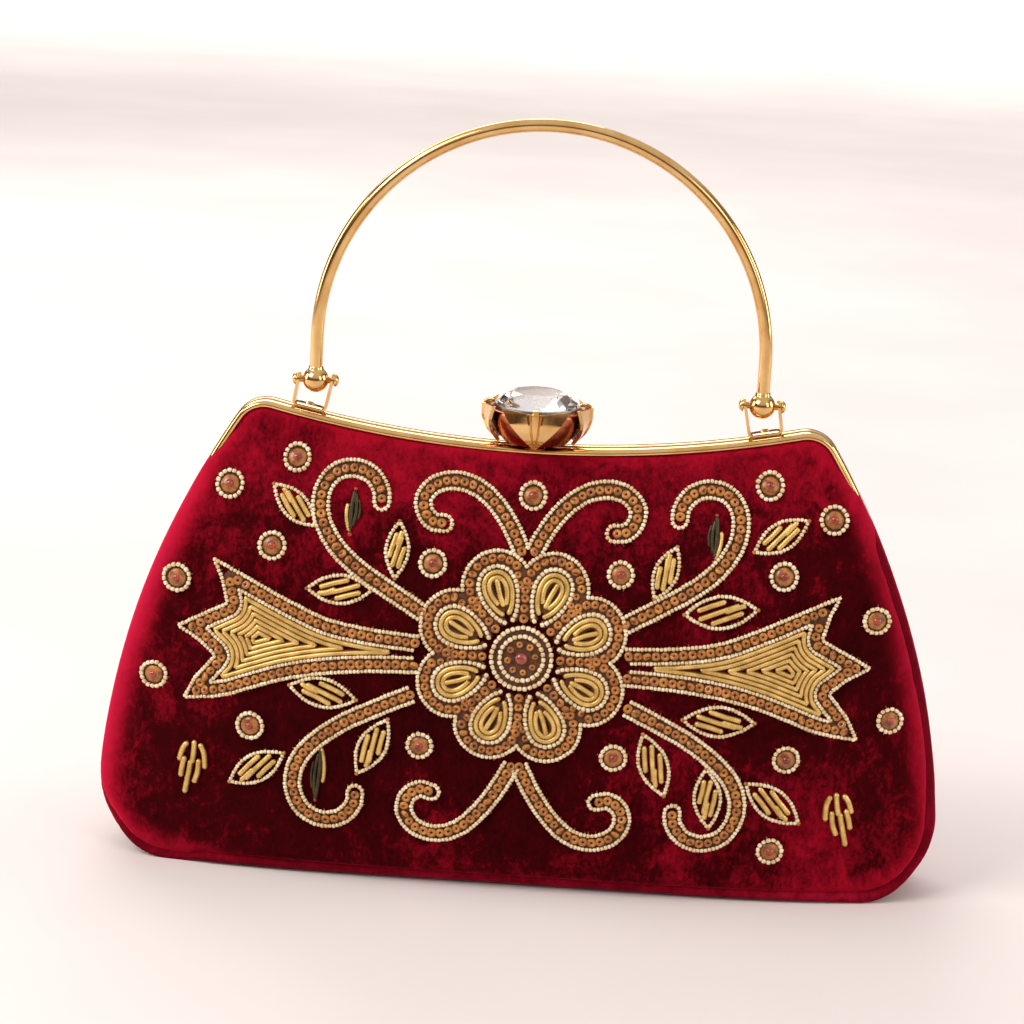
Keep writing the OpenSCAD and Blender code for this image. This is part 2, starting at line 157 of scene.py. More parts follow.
class Nodes:
    """The node tree of one material or of the world."""

    def __init__(self, owner: bpy.types.ID) -> None:
        """Empties the owner's tree.

        Args:
            owner: the material or world.
        """
        self.owner = owner
        owner.use_nodes = True
        self.tree = owner.node_tree
        self.tree.nodes.clear()

    def add(self, kind: str, settings: dict | None = None, inputs: dict | None = None,
            out: int | str = 0) -> Wire:
        """Adds a node.

        Args:
            kind: Blender's name for the node type.
            settings: the node's own settings; "stops" are a colour ramp's stops.
            inputs: values or wires by socket name or number.
            out: the output that is handed back.

        Returns:
            The wire from that output.
        """
        node = self.tree.nodes.new(kind)
        for key, value in (settings or {}).items():
            if key == "stops":
                ramp = node.color_ramp
                while len(ramp.elements) < len(value):
                    ramp.elements.new(0.5)
                for element, (place, colour) in zip(ramp.elements, value):
                    element.position, element.color = place, (*colour, 1.0)
            else:
                setattr(node, key, value)
        for key, value in (inputs or {}).items():
            if isinstance(value, Wire):
                self.tree.links.new(value.socket, node.inputs[key])
            else:
                socket = node.inputs[key]
                is_colour = socket.type == "RGBA" and len(value) == 3
                socket.default_value = (*value, 1.0) if is_colour else value
        return Wire(self, node.outputs[out]) if node.outputs else Wire(self, None)

    def place(self, stretch: Sequence[float] = (1.0, 1.0, 1.0)) -> Wire:
        """The place on the piece in metres.

        Args:
            stretch: its stretch along each axis.

        Returns:
            The place.
        """
        spot = self.add("ShaderNodeTexCoord", out="Object")
        if tuple(stretch) == (1.0, 1.0, 1.0):
            return spot
        return self.add("ShaderNodeMapping", {}, {"Vector": spot, "Scale": stretch})

    def noise(self, scale: float, detail: float = 3.0, roughness: float = 0.55,
              distortion: float = 0.0, stretch: Sequence[float] = (1.0, 1.0, 1.0)) -> Wire:
        """Noise of that many features per metre.

        Args:
            scale: features per metre.
            detail: how many finer layers lie on it.
            roughness: share of each finer layer.
            distortion: how far the features are pulled about.
            stretch: stretch of the place along each axis.

        Returns:
            The noise, from 0 to 1.
        """
        return self.add("ShaderNodeTexNoise", {}, {
            "Vector": self.place(stretch), "Scale": scale, "Detail": detail,
            "Roughness": roughness, "Distortion": distortion})

    def ramp(self, value: Wire, stops: Sequence[tuple[float, Colour]]) -> Wire:
        """Turns a value into a colour by stops."""
        return self.add("ShaderNodeValToRGB", {"stops": stops}, {"Fac": value})

    def span(self, value: Wire, low: float, high: float, to_low: float = 0.0,
             to_high: float = 1.0) -> Wire:
        """Maps low..high to to_low..to_high, clamped."""
        return self.add("ShaderNodeMapRange", {"clamp": True}, {
            0: value, 1: low, 2: high, 3: to_low, 4: to_high})

    def mix(self, factor: "Wire | float", a: "Wire | Colour", b: "Wire | Colour",
            blend: str = "MIX") -> Wire:
        """Mixes two colours."""
        settings = {"data_type": "RGBA", "blend_type": blend}
        return self.add("ShaderNodeMix", settings, {0: factor, 6: a, 7: b}, out=2)

    def bump(self, height: Wire, distance: float, strength: float = 1.0) -> Wire:
        """A surface raised by height times distance in millimetres."""
        return self.add("ShaderNodeBump", {}, {
            "Height": height, "Distance": distance * MM, "Strength": strength})

    def surface(self, **inputs: "Wire | float | Colour") -> bpy.types.Material:
        """Ends the tree in a Principled surface.

        Args:
            inputs: its sockets, with underscores for the spaces in their names.

        Returns:
            The finished material.
        """
        sockets = {k.replace("_", " "): v for k, v in inputs.items()}
        shader = self.add("ShaderNodeBsdfPrincipled", {}, sockets)
        self.add("ShaderNodeOutputMaterial", {}, {"Surface": shader})
        return self.owner


# ---------------------------------------------------------------- finishes


class Finish:
    """A finish; each kind makes its material once."""

    made: dict["Finish", bpy.types.Material] = {}

    def material(self) -> bpy.types.Material:
        """The finish's material, made when it is first asked for.

        Returns:
            The material.
        """
        if self not in Finish.made:
            Finish.made[self] = self.mixed()
        return Finish.made[self]

    def mixed(self) -> bpy.types.Material:
        """Makes the material."""
        raise NotImplementedError


@dataclass(frozen=True)
class Velvet(Finish):
    """Pile velvet with a nap swept about by hand; its colour also holds painted light and a painted
    sheen.
    """

    name: str = "wine_velvet"
    deep: Colour = (0.008, 0.0001, 0.0003)
    middle: Colour = (0.046, 0.0002, 0.0016)
    bright: Colour = (0.360, 0.0035, 0.0180)
    # edge is the bright pink of a painted sheen along the rim of the case
    edge: Colour = (0.560, 0.0110, 0.0600)
    sheen_tint: Colour = (1.0, 0.022, 0.085)
    sheen: float = 0.76
    sheen_roughness: float = 0.3
    patch: float = 1.0
    centre: float = 0.52
    contrast: float = 0.17

    def mixed(self) -> bpy.types.Material:
        """Patches of nap, fibre marks and a fine pile, with painted light on the upper part, a
        little lighter towards the bottom, and a painted sheen along the rim.

        Returns:
            The material.
        """
        n = Nodes(bpy.data.materials.new(self.name))
        broad = n.noise(17, 4, 0.6, 0.8)
        strokes = n.noise(120, 4, 0.62, 0.9, (1.15, 1.0, 0.9))
        hairs = n.noise(620, 3, 0.65, 0.5, (1.3, 1.0, 0.8))
        pile = n.noise(2600, 2, 0.6)
        height = n.add("ShaderNodeSeparateXYZ", {}, {0: n.place()}, out="Z")
        # painted light: the upper part of the face is made lighter by height, as if lit from above
        painted_top_light = n.span(height, 0.085, 0.135, 0.0, 0.11)
        nap = broad * 0.44 + strokes * 0.24 + hairs * 0.22 + pile * 0.10 + painted_top_light
        # painted sheen: the 'edge' attribute lightens the velvet towards pink along the rim
        rim_sheen = n.add("ShaderNodeAttribute", {"attribute_name": "edge"}, out="Fac")
        low = n.span(height, 0.03, 0.0, 0.0, 0.05)
        spread = self.contrast * self.patch
        tone = n.span(nap + low + rim_sheen * 0.22, self.centre - spread, self.centre + spread)
        painted_rim_colour = n.mix(rim_sheen * rim_sheen * (0.45 + tone * 0.4), self.bright, self.edge)
        napped = n.ramp(tone, [(0.0, self.deep), (0.5, self.middle), (1.0, self.bright)])
        colour = n.mix(rim_sheen, napped, painted_rim_colour)
        lie = n.bump(broad * 0.6 + strokes * 0.4, 1.6 * self.patch, 0.8)
        fibre = n.add("ShaderNodeBump", {}, {
            "Height": hairs * 0.5 + pile * 0.5, "Distance": 0.16 * MM, "Strength": 0.6,
            "Normal": lie})
        return n.surface(
            Base_Color=colour, Roughness=n.span(pile, 0.3, 0.7, 0.82, 0.98), Normal=fibre,
            Specular_IOR_Level=0.04, Sheen_Weight=self.sheen,
            Sheen_Roughness=self.sheen_roughness, Sheen_Tint=self.sheen_tint)


@dataclass(frozen=True)
class Satin(Finish):
    """Satin weave, shiny along one thread."""

    name: str = "wine_satin"
    light: Colour = (0.36, 0.012, 0.045)
    dark: Colour = (0.12, 0.003, 0.014)
    threads: float = 2400.0

    def mixed(self) -> bpy.types.Material:
        """A fine weave with soft shadows where it creases.

        Returns:
            The material.
        """
        n = Nodes(bpy.data.materials.new(self.name))
        soft = n.noise(60, 4, 0.5, 0.8)
        weave = n.noise(self.threads, 1, 0.5, 0.0, (1.0, 1.0, 0.12))
        cross = n.noise(self.threads, 1, 0.5, 0.0, (0.12, 1.0, 1.0))
        tone = n.span(soft * 0.6 + weave * 0.25 + cross * 0.15, 0.35, 0.65)
        lie = n.bump(soft, 1.2, 0.7)
        fine = n.add("ShaderNodeBump", {}, {
            "Height": weave + cross, "Distance": 0.05 * MM, "Strength": 0.5, "Normal": lie})
        return n.surface(
            Base_Color=n.mix(tone, self.dark, self.light), Normal=fine,
            Roughness=n.span(weave, 0.3, 0.7, 0.3, 0.46), Specular_IOR_Level=0.6,
            Sheen_Weight=0.25, Sheen_Roughness=0.3, Sheen_Tint=(1.0, 0.35, 0.45))


@dataclass(frozen=True)
class Gilt(Finish):
    """Polished gold plate with faint polishing marks."""

    name: str = "gold_plate"
    warm: Colour = (0.76, 0.49, 0.205)
    deep: Colour = (0.62, 0.34, 0.11)
    low: float = 0.09
    high: float = 0.20

    def mixed(self) -> bpy.types.Material:
        """A little darker and duller in the worn places.

        Returns:
            The material.
        """
        n = Nodes(bpy.data.materials.new(self.name))
        cloud = n.noise(90, 4, 0.6)
        lines = n.noise(1500, 2, 0.5, 0.0, (1.0, 0.08, 0.08))
        wear = n.span(cloud, 0.42, 0.72)
        return n.surface(
            Base_Color=n.mix(wear, self.warm, self.deep), Metallic=1.0,
            Roughness=n.span(cloud * 0.7 + lines * 0.3, 0.35, 0.7, self.low, self.high),
            Normal=n.bump(lines, 0.01, 0.35))


@dataclass(frozen=True)
class SeedBead(Finish):
    """Glass seed beads, each a little different in tone."""

    name: str = "cream_beads"
    light: Colour = (0.90, 0.80, 0.60)
    dark: Colour = (0.62, 0.45, 0.24)
    roughness: float = 0.22
    glow: float = 0.0
    metallic: float = 0.0
    coat: float = 0.6

    def mixed(self) -> bpy.types.Material:
        """Tone by bead, from coarse noise, with a clear skin.

        Returns:
            The material.
        """
        n = Nodes(bpy.data.materials.new(self.name))
        each = n.noise(520, 1, 0.5)
        cloud = n.noise(60, 2, 0.5)
        tone = n.span(each * 0.75 + cloud * 0.25, 0.36, 0.64)
        return n.surface(
            Base_Color=n.mix(tone, self.dark, self.light), Metallic=self.metallic,
            Roughness=n.span(each, 0.3, 0.7, self.roughness * 0.7, self.roughness * 1.5),
            Coat_Weight=self.coat, Coat_Roughness=0.12, Specular_IOR_Level=0.6,
            Subsurface_Weight=self.glow, Subsurface_Radius=(0.4, 0.2, 0.1),
            Subsurface_Scale=0.0015)


@dataclass(frozen=True)
class Coil(Finish):
    """Coiled bullion wire."""

    name: str = "gold_bullion"
    light: Colour = (0.92, 0.64, 0.23)
    dark: Colour = (0.55, 0.33, 0.085)
    metallic: float = 0.7
    roughness: float = 0.36

    def mixed(self) -> bpy.types.Material:
        """Wire that is bright on its crowns and duller where it has aged.

        Returns:
            The material.
        """
        n = Nodes(bpy.data.materials.new(self.name))
        cloud = n.noise(260, 3, 0.6)
        fine = n.noise(3000, 1, 0.5)
        tone = n.span(cloud * 0.7 + fine * 0.3, 0.35, 0.65)
        return n.surface(
            Base_Color=n.mix(tone, self.dark, self.light), Metallic=self.metallic,
            Roughness=n.span(fine, 0.3, 0.7, self.roughness * 0.75, self.roughness * 1.3),
            Normal=n.bump(fine, 0.03, 0.5))


@dataclass(frozen=True)
class Thread(Finish):
    """Matt thread and felt under the beads."""

    name: str = "brown_thread"
    light: Colour = (0.17, 0.058, 0.014)
    dark: Colour = (0.04, 0.012, 0.005)

    def mixed(self) -> bpy.types.Material:
        """Short strands in two browns.

        Returns:
            The material.
        """
        n = Nodes(bpy.data.materials.new(self.name))
        strands = n.noise(1500, 3, 0.7, 1.0, (1.0, 1.0, 0.4))
        tone = n.span(strands, 0.35, 0.65)
        return n.surface(
            Base_Color=n.mix(tone, self.dark, self.light),
            Roughness=n.span(strands, 0.3, 0.7, 0.7, 0.95),
            Normal=n.bump(strands, 0.12, 0.8), Sheen_Weight=0.2)


@dataclass(frozen=True)
class Gem(Finish):
    """Clear cut glass."""

    name: str = "clear_crystal"
    tint: Colour = (1.0, 0.985, 0.98)
    ior: float = 1.36

    def mixed(self) -> bpy.types.Material:
        """Polished, with barely seen polishing haze.

        Returns:
            The material.
        """
        n = Nodes(bpy.data.materials.new(self.name))
        haze = n.noise(300, 2, 0.5)
        return n.surface(
            Base_Color=self.tint, Roughness=n.span(haze, 0.4, 0.7, 0.0, 0.015),
            Transmission_Weight=1.0, IOR=self.ior, Specular_IOR_Level=0.5)


@dataclass(frozen=True)
class Board(Finish):
    """Moulded board or foam, hidden by cloth."""

    name: str = "moulded_board"
    light: Colour = (0.36, 0.27, 0.18)
    dark: Colour = (0.20, 0.14, 0.09)
    grain: float = 900.0

    def mixed(self) -> bpy.types.Material:
        """Pressed fibres.

        Returns:
            The material.
        """
        n = Nodes(bpy.data.materials.new(self.name))
        fibre = n.noise(self.grain, 4, 0.65, 0.8)
        tone = n.span(fibre, 0.35, 0.65)
        return n.surface(
            Base_Color=n.mix(tone, self.dark, self.light),
            Roughness=n.span(fibre, 0.3, 0.7, 0.7, 0.92), Normal=n.bump(fibre, 0.08, 0.6))


@dataclass(frozen=True)
class Linen(Finish):
    """The pale cloth that the bag stands on."""

    name: str = "pale_floor"
    light: Colour = (0.76, 0.705, 0.69)
    dark: Colour = (0.71, 0.65, 0.635)

    def mixed(self) -> bpy.types.Material:
        """A plain pale floor with a faint cloudiness.

        Returns:
            The material.
        """
        n = Nodes(bpy.data.materials.new(self.name))
        cloud = n.noise(5, 3, 0.5)
        return n.surface(
            Base_Color=n.mix(n.span(cloud, 0.3, 0.7), self.dark, self.light), Roughness=0.9,
            Specular_IOR_Level=0.1)


VELVET = Velvet()
# painted sheen: the rim strip gets a lighter copy of the wine velvet, standing for the light its
# sheen catches
SHEEN_LIT_VELVET = Velvet("sheen_lit_rim_velvet", (0.05, 0.0004, 0.002), (0.15, 0.0012, 0.008),
                    (0.42, 0.007, 0.035), patch=1.2, sheen=0.8, sheen_roughness=0.26)
SATIN = Satin()
GILT = Gilt()
DULL_GILT = Gilt("hinge_plate", (0.80, 0.55, 0.26), (0.55, 0.33, 0.13), 0.22, 0.4)
SHADED_GILT = Gilt("shaded_gold", (0.42, 0.13, 0.06), (0.25, 0.06, 0.03), 0.2, 0.35)
STEEL = Gilt("spring_wire", (0.62, 0.62, 0.64), (0.45, 0.45, 0.47), 0.18, 0.3)
FOIL = SeedBead("silver_foil", (1.0, 0.97, 0.96), (0.90, 0.83, 0.81), 0.3, metallic=0.05)
CREAM = SeedBead(light=(0.93, 0.80, 0.56), dark=(0.66, 0.46, 0.22), glow=0.05)
AMBER = SeedBead("amber_beads", (0.56, 0.215, 0.030), (0.25, 0.075, 0.010), 0.26, coat=0.2)
CARNELIAN = SeedBead("carnelian", (0.40, 0.05, 0.010), (0.14, 0.010, 0.004), 0.08, coat=0.2)
SETTING = SeedBead("dot_setting", (0.46, 0.17, 0.028), (0.18, 0.045, 0.008), 0.3, coat=0.15)
GARNET = SeedBead("garnet", (0.36, 0.055, 0.03), (0.16, 0.012, 0.010), 0.1)
BULLION = Coil()
OLIVE = Coil("olive_bullion", (0.085, 0.062, 0.02), (0.014, 0.011, 0.006), 0.5, 0.3)
THREAD = Thread()
ORANGE_THREAD = Thread("couching_thread", (0.50, 0.16, 0.035), (0.20, 0.05, 0.012))
CRYSTAL = Gem()
BOARD = Board()
FOAM = Board("wadding", (0.80, 0.72, 0.55), (0.62, 0.53, 0.38), 500.0)
FLOOR = Linen()


# ---------------------------------------------------------------- solids


@dataclass
class Solid:
    """Vertices in millimetres and the faces between them, while a piece is being made."""

    points: np.ndarray
    faces: list[tuple[int, ...]]

    @staticmethod
    def joined(parts: Iterable["Solid"]) -> "Solid":
        """Puts several solids into one.

        Args:
            parts: the solids.

        Returns:
            One solid that holds them all.
        """
        points, faces, start = [], [], 0
        for part in parts:
            points.append(part.points)
            faces.extend(tuple(i + start for i in face) for face in part.faces)
            start += len(part.points)
        return Solid(np.concatenate(points), faces)

    def moved(self, matrix: np.ndarray, shift: Sequence[float] = (0, 0, 0)) -> "Solid":
        """The solid turned by a 3x3 matrix and then moved."""
        return Solid(self.points @ np.asarray(matrix).T + np.asarray(shift, float), self.faces)

    def object(self, name: str, smooth: bool = True, weld: float = 0.0) -> bpy.types.Object:
        """Makes the Blender object, in metres.

        Args:
            name: the piece's name.
            smooth: whether its faces shade smoothly.
            weld: points closer than this, in millimetres, become one.

        Returns:
            The object, linked to the scene.
        """
        mesh = bpy.data.meshes.new(name)
        mesh.from_pydata((self.points * MM).tolist(), [], self.faces)
        bm = bmesh.new()
        bm.from_mesh(mesh)
        if weld:
            bmesh.ops.remove_doubles(bm, verts=bm.verts, dist=weld * MM)
        bmesh.ops.recalc_face_normals(bm, faces=bm.faces)
        for face in bm.faces:
            face.smooth = smooth
        bm.to_mesh(mesh)
        bm.free()
        obj = bpy.data.objects.new(name, mesh)
        bpy.context.scene.collection.objects.link(obj)
        return obj


def grid_faces(rows: int, columns: int, loop_rows: bool = False,
               loop_columns: bool = False) -> list[tuple[int, ...]]:
    """Quads of a grid of points kept row by row.

    Args:
        rows: number of rows.
        columns: points in a row.
        loop_rows: whether the last row joins the first.
        loop_columns: whether each row closes on itself.

    Returns:
        The quads.
    """
    faces = []
    for r in range(rows if loop_rows else rows - 1):
        for c in range(columns if loop_columns else columns - 1):
            r1, c1 = (r + 1) % rows, (c + 1) % columns
            faces.append((r * columns + c, r * columns + c1, r1 * columns + c1,
                          r1 * columns + c))
    return faces


def tube_faces(rows: int, columns: int) -> list[tuple[int, ...]]:
    """Faces of a grid whose rows close on themselves, with a cap at both ends.

    Args:
        rows: number of rows.
        columns: points in a row.

    Returns:
        The quads and the two caps.
    """
    faces = grid_faces(rows, columns, loop_columns=True)
    faces.append(tuple(range(columns)))
    faces.append(tuple((rows - 1) * columns + i for i in reversed(range(columns))))
    return faces


def about_z(degrees: float) -> np.ndarray:
    """The matrix that turns by an angle about Z.

    Args:
        degrees: the angle.

    Returns:
        The 3x3 matrix.
    """
    c, s = math.cos(math.radians(degrees)), math.sin(math.radians(degrees))
    return np.array([[c, -s, 0], [s, c, 0], [0, 0, 1]])


def grid_normals(grid: np.ndarray, loop: bool) -> np.ndarray:
    """Normals of a grid of points.

    Args:
        grid: points, rows by columns by 3.
        loop: whether the rows close on themselves.

    Returns:
        A unit normal for each point.
    """
    if loop:
        across = np.roll(grid, -1, 0) - np.roll(grid, 1, 0)
    else:
        across = np.gradient(grid, axis=0)
    along = np.gradient(grid, axis=1)
    return unit(np.cross(across, along))


def lathe(profile: Sequence[Sequence[float]], segments: int = 48) -> Solid:
    """Turns a profile round Z.

    Args:
        profile: points (radius, z); a radius of 0 closes the end.
        segments: steps round the axis.

    Returns:
        The turned solid.
    """
    line = np.asarray(profile, float)
    angles = np.arange(segments) * 2 * math.pi / segments
    ring = np.stack([np.cos(angles), np.sin(angles)], -1)
    points = np.concatenate([np.concatenate([ring * r, np.full((segments, 1), z)], 1)
                             for r, z in line])
    return Solid(points, grid_faces(len(line), segments, loop_columns=True))


def tube(path: np.ndarray, radii: np.ndarray | float, sides: int = 12) -> Solid:
    """A round tube along a path, closed at both ends.

    Args:
        path: points along its middle.
        radii: its radius at each point, or everywhere.
        sides: sides of its section.

    Returns:
        The tube.
    """
    path = np.asarray(path, float)
    radii = np.broadcast_to(np.asarray(radii, float), len(path))
    tangents = unit(np.gradient(path, axis=0))
    first = np.cross(tangents[0], [0.3, 0.9, 0.2])
    normals = [unit(first)]
    for t in tangents[1:]:
        last = normals[-1]
        normals.append(unit(last - t * float(last @ t)))
    n = np.array(normals)
    b = np.cross(tangents, n)
    a = np.arange(sides) * 2 * math.pi / sides
    rings = (path[:, None] + radii[:, None, None]
             * (np.cos(a)[None, :, None] * n[:, None] + np.sin(a)[None, :, None] * b[:, None]))
    return Solid(rings.reshape(-1, 3), tube_faces(len(path), sides))


def smooth_line(points: Sequence[Sequence[float]], steps: int = 10,
                closed: bool = False) -> np.ndarray:
    """A smooth curve through points.

    Args:
        points: the points it passes through.
        steps: steps between two of them.
        closed: whether it comes back to its start.

    Returns:
        Points close together on the curve.
    """
    p = np.asarray(points, float)
    n = len(p)
    out = []
    for i in range(n if closed else n - 1):
        if closed:
            a, b, c, d = p[i - 1], p[i], p[(i + 1) % n], p[(i + 2) % n]
        else:
            b, c = p[i], p[i + 1]
            a = p[i - 1] if i else 2 * b - c
            d = p[i + 2] if i + 2 < n else 2 * c - b
        for t in np.arange(steps) / steps:
            out.append(0.5 * (2 * b + (c - a) * t + (2 * a - 5 * b + 4 * c - d) * t * t
                              + (3 * b - a - 3 * c + d) * t ** 3))
    if not closed:
        out.append(p[-1])
    return np.array(out)


def spaced(line: np.ndarray, pitch: float, closed: bool = False) -> np.ndarray:
    """Points at an even pitch along a line.

    Args:
        line: points along it.
        pitch: the pitch aimed at; it is stretched a little so that a whole number fits.
        closed: whether the line is a loop.

    Returns:
        The evenly spaced points.
    """
    if closed:
        line = np.concatenate([line, line[:1]])
    steps = np.linalg.norm(np.diff(line, axis=0), axis=1)
    far = np.concatenate([[0.0], np.cumsum(steps)])
    count = max(int(round(far[-1] / pitch)), 1)
    wanted = np.arange(count if closed else count + 1) * far[-1] / count
    return np.stack([np.interp(wanted, far, line[:, k]) for k in range(line.shape[1])], -1)


def beside(line: np.ndarray, distance: float) -> np.ndarray:
    """The line moved sideways, to its left when positive."""
    d = unit(np.gradient(line, axis=0))
    return line + distance * np.stack([-d[:, 1], d[:, 0]], -1)


def mirrored(line: Sequence[Sequence[float]]) -> np.ndarray:
    """The flat line on the other side of the bag."""
    return np.asarray(line, float) * [-1.0, 1.0]


class DistanceMap:
    """Distances inside a flat outline, from which lines at a chosen inset are drawn."""

    def __init__(self, outline: np.ndarray, step: float = 0.35) -> None:
        """Measures the distance to the outline on a grid.

        Args:
            outline: the closed outline.
            step: the grid's step.
        """
        low, high = outline.min(0) - 2 * step, outline.max(0) + 2 * step
        self.x = np.arange(low[0], high[0], step)
        self.z = np.arange(low[1], high[1], step)
        gx, gz = np.meshgrid(self.x, self.z, indexing="ij")
        spots = np.stack([gx.ravel(), gz.ravel()], -1)
        best = np.full(len(spots), 1e9)
        inside = np.zeros(len(spots), bool)
        for a, b in zip(outline, np.roll(outline, -1, 0)):
            ab = b - a
            t = np.clip(((spots - a) @ ab) / max(float(ab @ ab), 1e-12), 0, 1)
            best = np.minimum(best, np.linalg.norm(spots - a - t[:, None] * ab, axis=1))
            cross = (a[1] > spots[:, 1]) != (b[1] > spots[:, 1])
            slope = (spots[:, 1] - a[1]) / (ab[1] if abs(ab[1]) > 1e-12 else 1e-12)
            inside ^= cross & (spots[:, 0] < a[0] + slope * ab[0])
        self.inset = np.where(inside, best, -best).reshape(gx.shape)

    def lines(self, inset: float, least: float = 4.0) -> list[np.ndarray]:
        """Draws the loops that lie at one inset.

        Args:
            inset: the distance inside the outline.
            least: loops shorter than this are left out.

        Returns:
            The loops.
        """
        v = self.inset - inset
        joins: dict[tuple, list[tuple]] = {}
        spots: dict[tuple, np.ndarray] = {}

        def crossing(i: int, j: int, k: int, m: int) -> tuple:
            """Notes where the line crosses one edge of the grid.

            Args:
                i: column of the edge's first end.
                j: row of its first end.
                k: column of its second end.
                m: row of its second end.

            Returns:
                The edge's key.
            """
            key = (i, j, k, m)
            t = v[i, j] / (v[i, j] - v[k, m])
            spots[key] = np.array([lerp(self.x[i], self.x[k], t), lerp(self.z[j], self.z[m], t)])
            return key

        sign = v > 0
        mixed = (sign[:-1, :-1].astype(int) + sign[1:, :-1] + sign[:-1, 1:] + sign[1:, 1:])
        for i, j in np.argwhere((mixed > 0) & (mixed < 4)):
            edges = []
            for a, b in (((i, j), (i + 1, j)), ((i + 1, j), (i + 1, j + 1)),
                         ((i, j + 1), (i + 1, j + 1)), ((i, j), (i, j + 1))):
                if sign[a] != sign[b]:
                    edges.append(crossing(*a, *b))
            for a, b in zip(edges[::2], edges[1::2]):
                joins.setdefault(a, []).append(b)
                joins.setdefault(b, []).append(a)
        loops, seen = [], set()
        for start in list(joins):
            if start in seen:
                continue
            loop, here = [], start
            while here is not None:
                seen.add(here)
                loop.append(spots[here])
                here = next((k for k in joins[here] if k not in seen), None)
            line = np.array(loop)
            if len(line) > 3 and np.linalg.norm(np.diff(line, axis=0), axis=1).sum() > least:
                loops.append(line)
        return loops


def dress(obj: bpy.types.Object, finish: Finish, body: Body | None,
          stands_for: Sequence[str] = ()) -> bpy.types.Object:
    """Gives a piece its finish and its body, and hides the CAD nodes that it stands for.

    Args:
        obj: the piece.
        finish: its finish.
        body: the body it rides on, or None for a piece that rides on no body.
        stands_for: CAD nodes it replaces.

    Returns:
        The piece.
    """
    obj.data.materials.clear()
    obj.data.materials.append(finish.material())
    if body is not None:
        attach(obj, body.value)
    if stands_for:
        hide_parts(*stands_for)
    log.info("%s: %d faces", obj.name, len(obj.data.polygons))
    return obj


def with_bevel(obj: bpy.types.Object, width: float, segments: int = 2,
               angle: float = 35.0) -> bpy.types.Object:
    """Rounds a piece's sharp edges.

    Args:
        obj: the piece.
        width: the rounding, in millimetres.
        segments: steps of the rounding.
        angle: edges sharper than this, in degrees, are rounded.

    Returns:
        The piece, with the rounding in its mesh.
    """
    bevel = obj.modifiers.new("round", "BEVEL")
    bevel.width, bevel.segments = width * MM, segments
    bevel.limit_method, bevel.angle_limit = "ANGLE", math.radians(angle)
    bevel.harden_normals = False
    return applied(obj)


def applied(obj: bpy.types.Object) -> bpy.types.Object:
    """Writes the piece's modifiers into its mesh.

    Args:
        obj: the piece.

    Returns:
        The piece.
    """
    graph = bpy.context.evaluated_depsgraph_get()
    mesh = bpy.data.meshes.new_from_object(obj.evaluated_get(graph))
    obj.modifiers.clear()
    obj.data = mesh
    return obj


# ---------------------------------------------------------------- the case


@dataclass
class Outline:
    """The front view of the case: a trapezoid of arcs with a dipped top."""

    half_width: float = 125.7
    dip_z: float = 129.5
    dip_r: float = 338.0
    side_r: float = 249.0
    foot_r: float = 23.0
    shoulder_r: float = 10.0
    crest: float = 1.1

    def __post_init__(self) -> None:
        """Works out the arcs and the points along them."""
        self.side_cx = self.side_r - self.half_width - self.crest
        self.foot_cx = (math.sqrt((self.side_r - self.foot_r) ** 2 - self.foot_r ** 2)
                        - self.side_cx)
        self.dip_cz = self.dip_z + self.dip_r
        far = math.hypot(self.side_cx, self.dip_cz)
        r1, r2 = self.side_r - self.shoulder_r, self.dip_r + self.shoulder_r
        along = (r1 * r1 - r2 * r2 + far * far) / (2 * far)
        across = math.sqrt(r1 * r1 - along * along)
        u = np.array([self.side_cx, self.dip_cz]) / far
        self.shoulder = np.array([-self.side_cx + along * u[0] + across * u[1],
                                  along * u[1] - across * u[0]])
        s = self.shoulder
        a_foot = math.atan2(self.foot_r, self.foot_cx + self.side_cx)
        a_top = math.atan2(s[1], s[0] + self.side_cx)
        a_dip = math.atan2(self.dip_cz - s[1], -s[0])
        spots, ins = [], []

        def arc(cx: float, cz: float, r: float, a0: float, a1: float, n: int,
                inward: float) -> None:
            """Adds points along an arc, without its first one.

            Args:
                cx: centre across.
                cz: height of the centre.
                r: radius.
                a0: angle at the start.
                a1: angle at the end.
                n: number of steps.
                inward: -1 where the case lies inside the arc, 1 where it lies outside.
            """
            for a in np.linspace(a0, a1, n + 1)[1:]:
                d = np.array([math.cos(a), math.sin(a)])
                spots.append(np.array([cx, cz]) + r * d)
                ins.append(d * inward)

        for x in np.linspace(0, self.foot_cx, 36):
            spots.append(np.array([x, 0.0]))
            ins.append(np.array([0.0, 1.0]))
        arc(self.foot_cx, self.foot_r, self.foot_r, -math.pi / 2, a_foot, 16, -1)
        arc(-self.side_cx, 0, self.side_r, a_foot, a_top, 36, -1)
        arc(s[0], s[1], self.shoulder_r, a_top, a_dip, 10, -1)
        arc(0, self.dip_cz, self.dip_r, a_dip - math.pi, -math.pi / 2, 28, 1)
        right, right_in = np.array(spots), np.array(ins)
        self.half_count = len(right) - 1
        flip = np.array([-1.0, 1.0])
        self.points = np.concatenate([right, (right * flip)[-2:0:-1]])
        self.inward = np.concatenate([right_in, (right_in * flip)[-2:0:-1]])


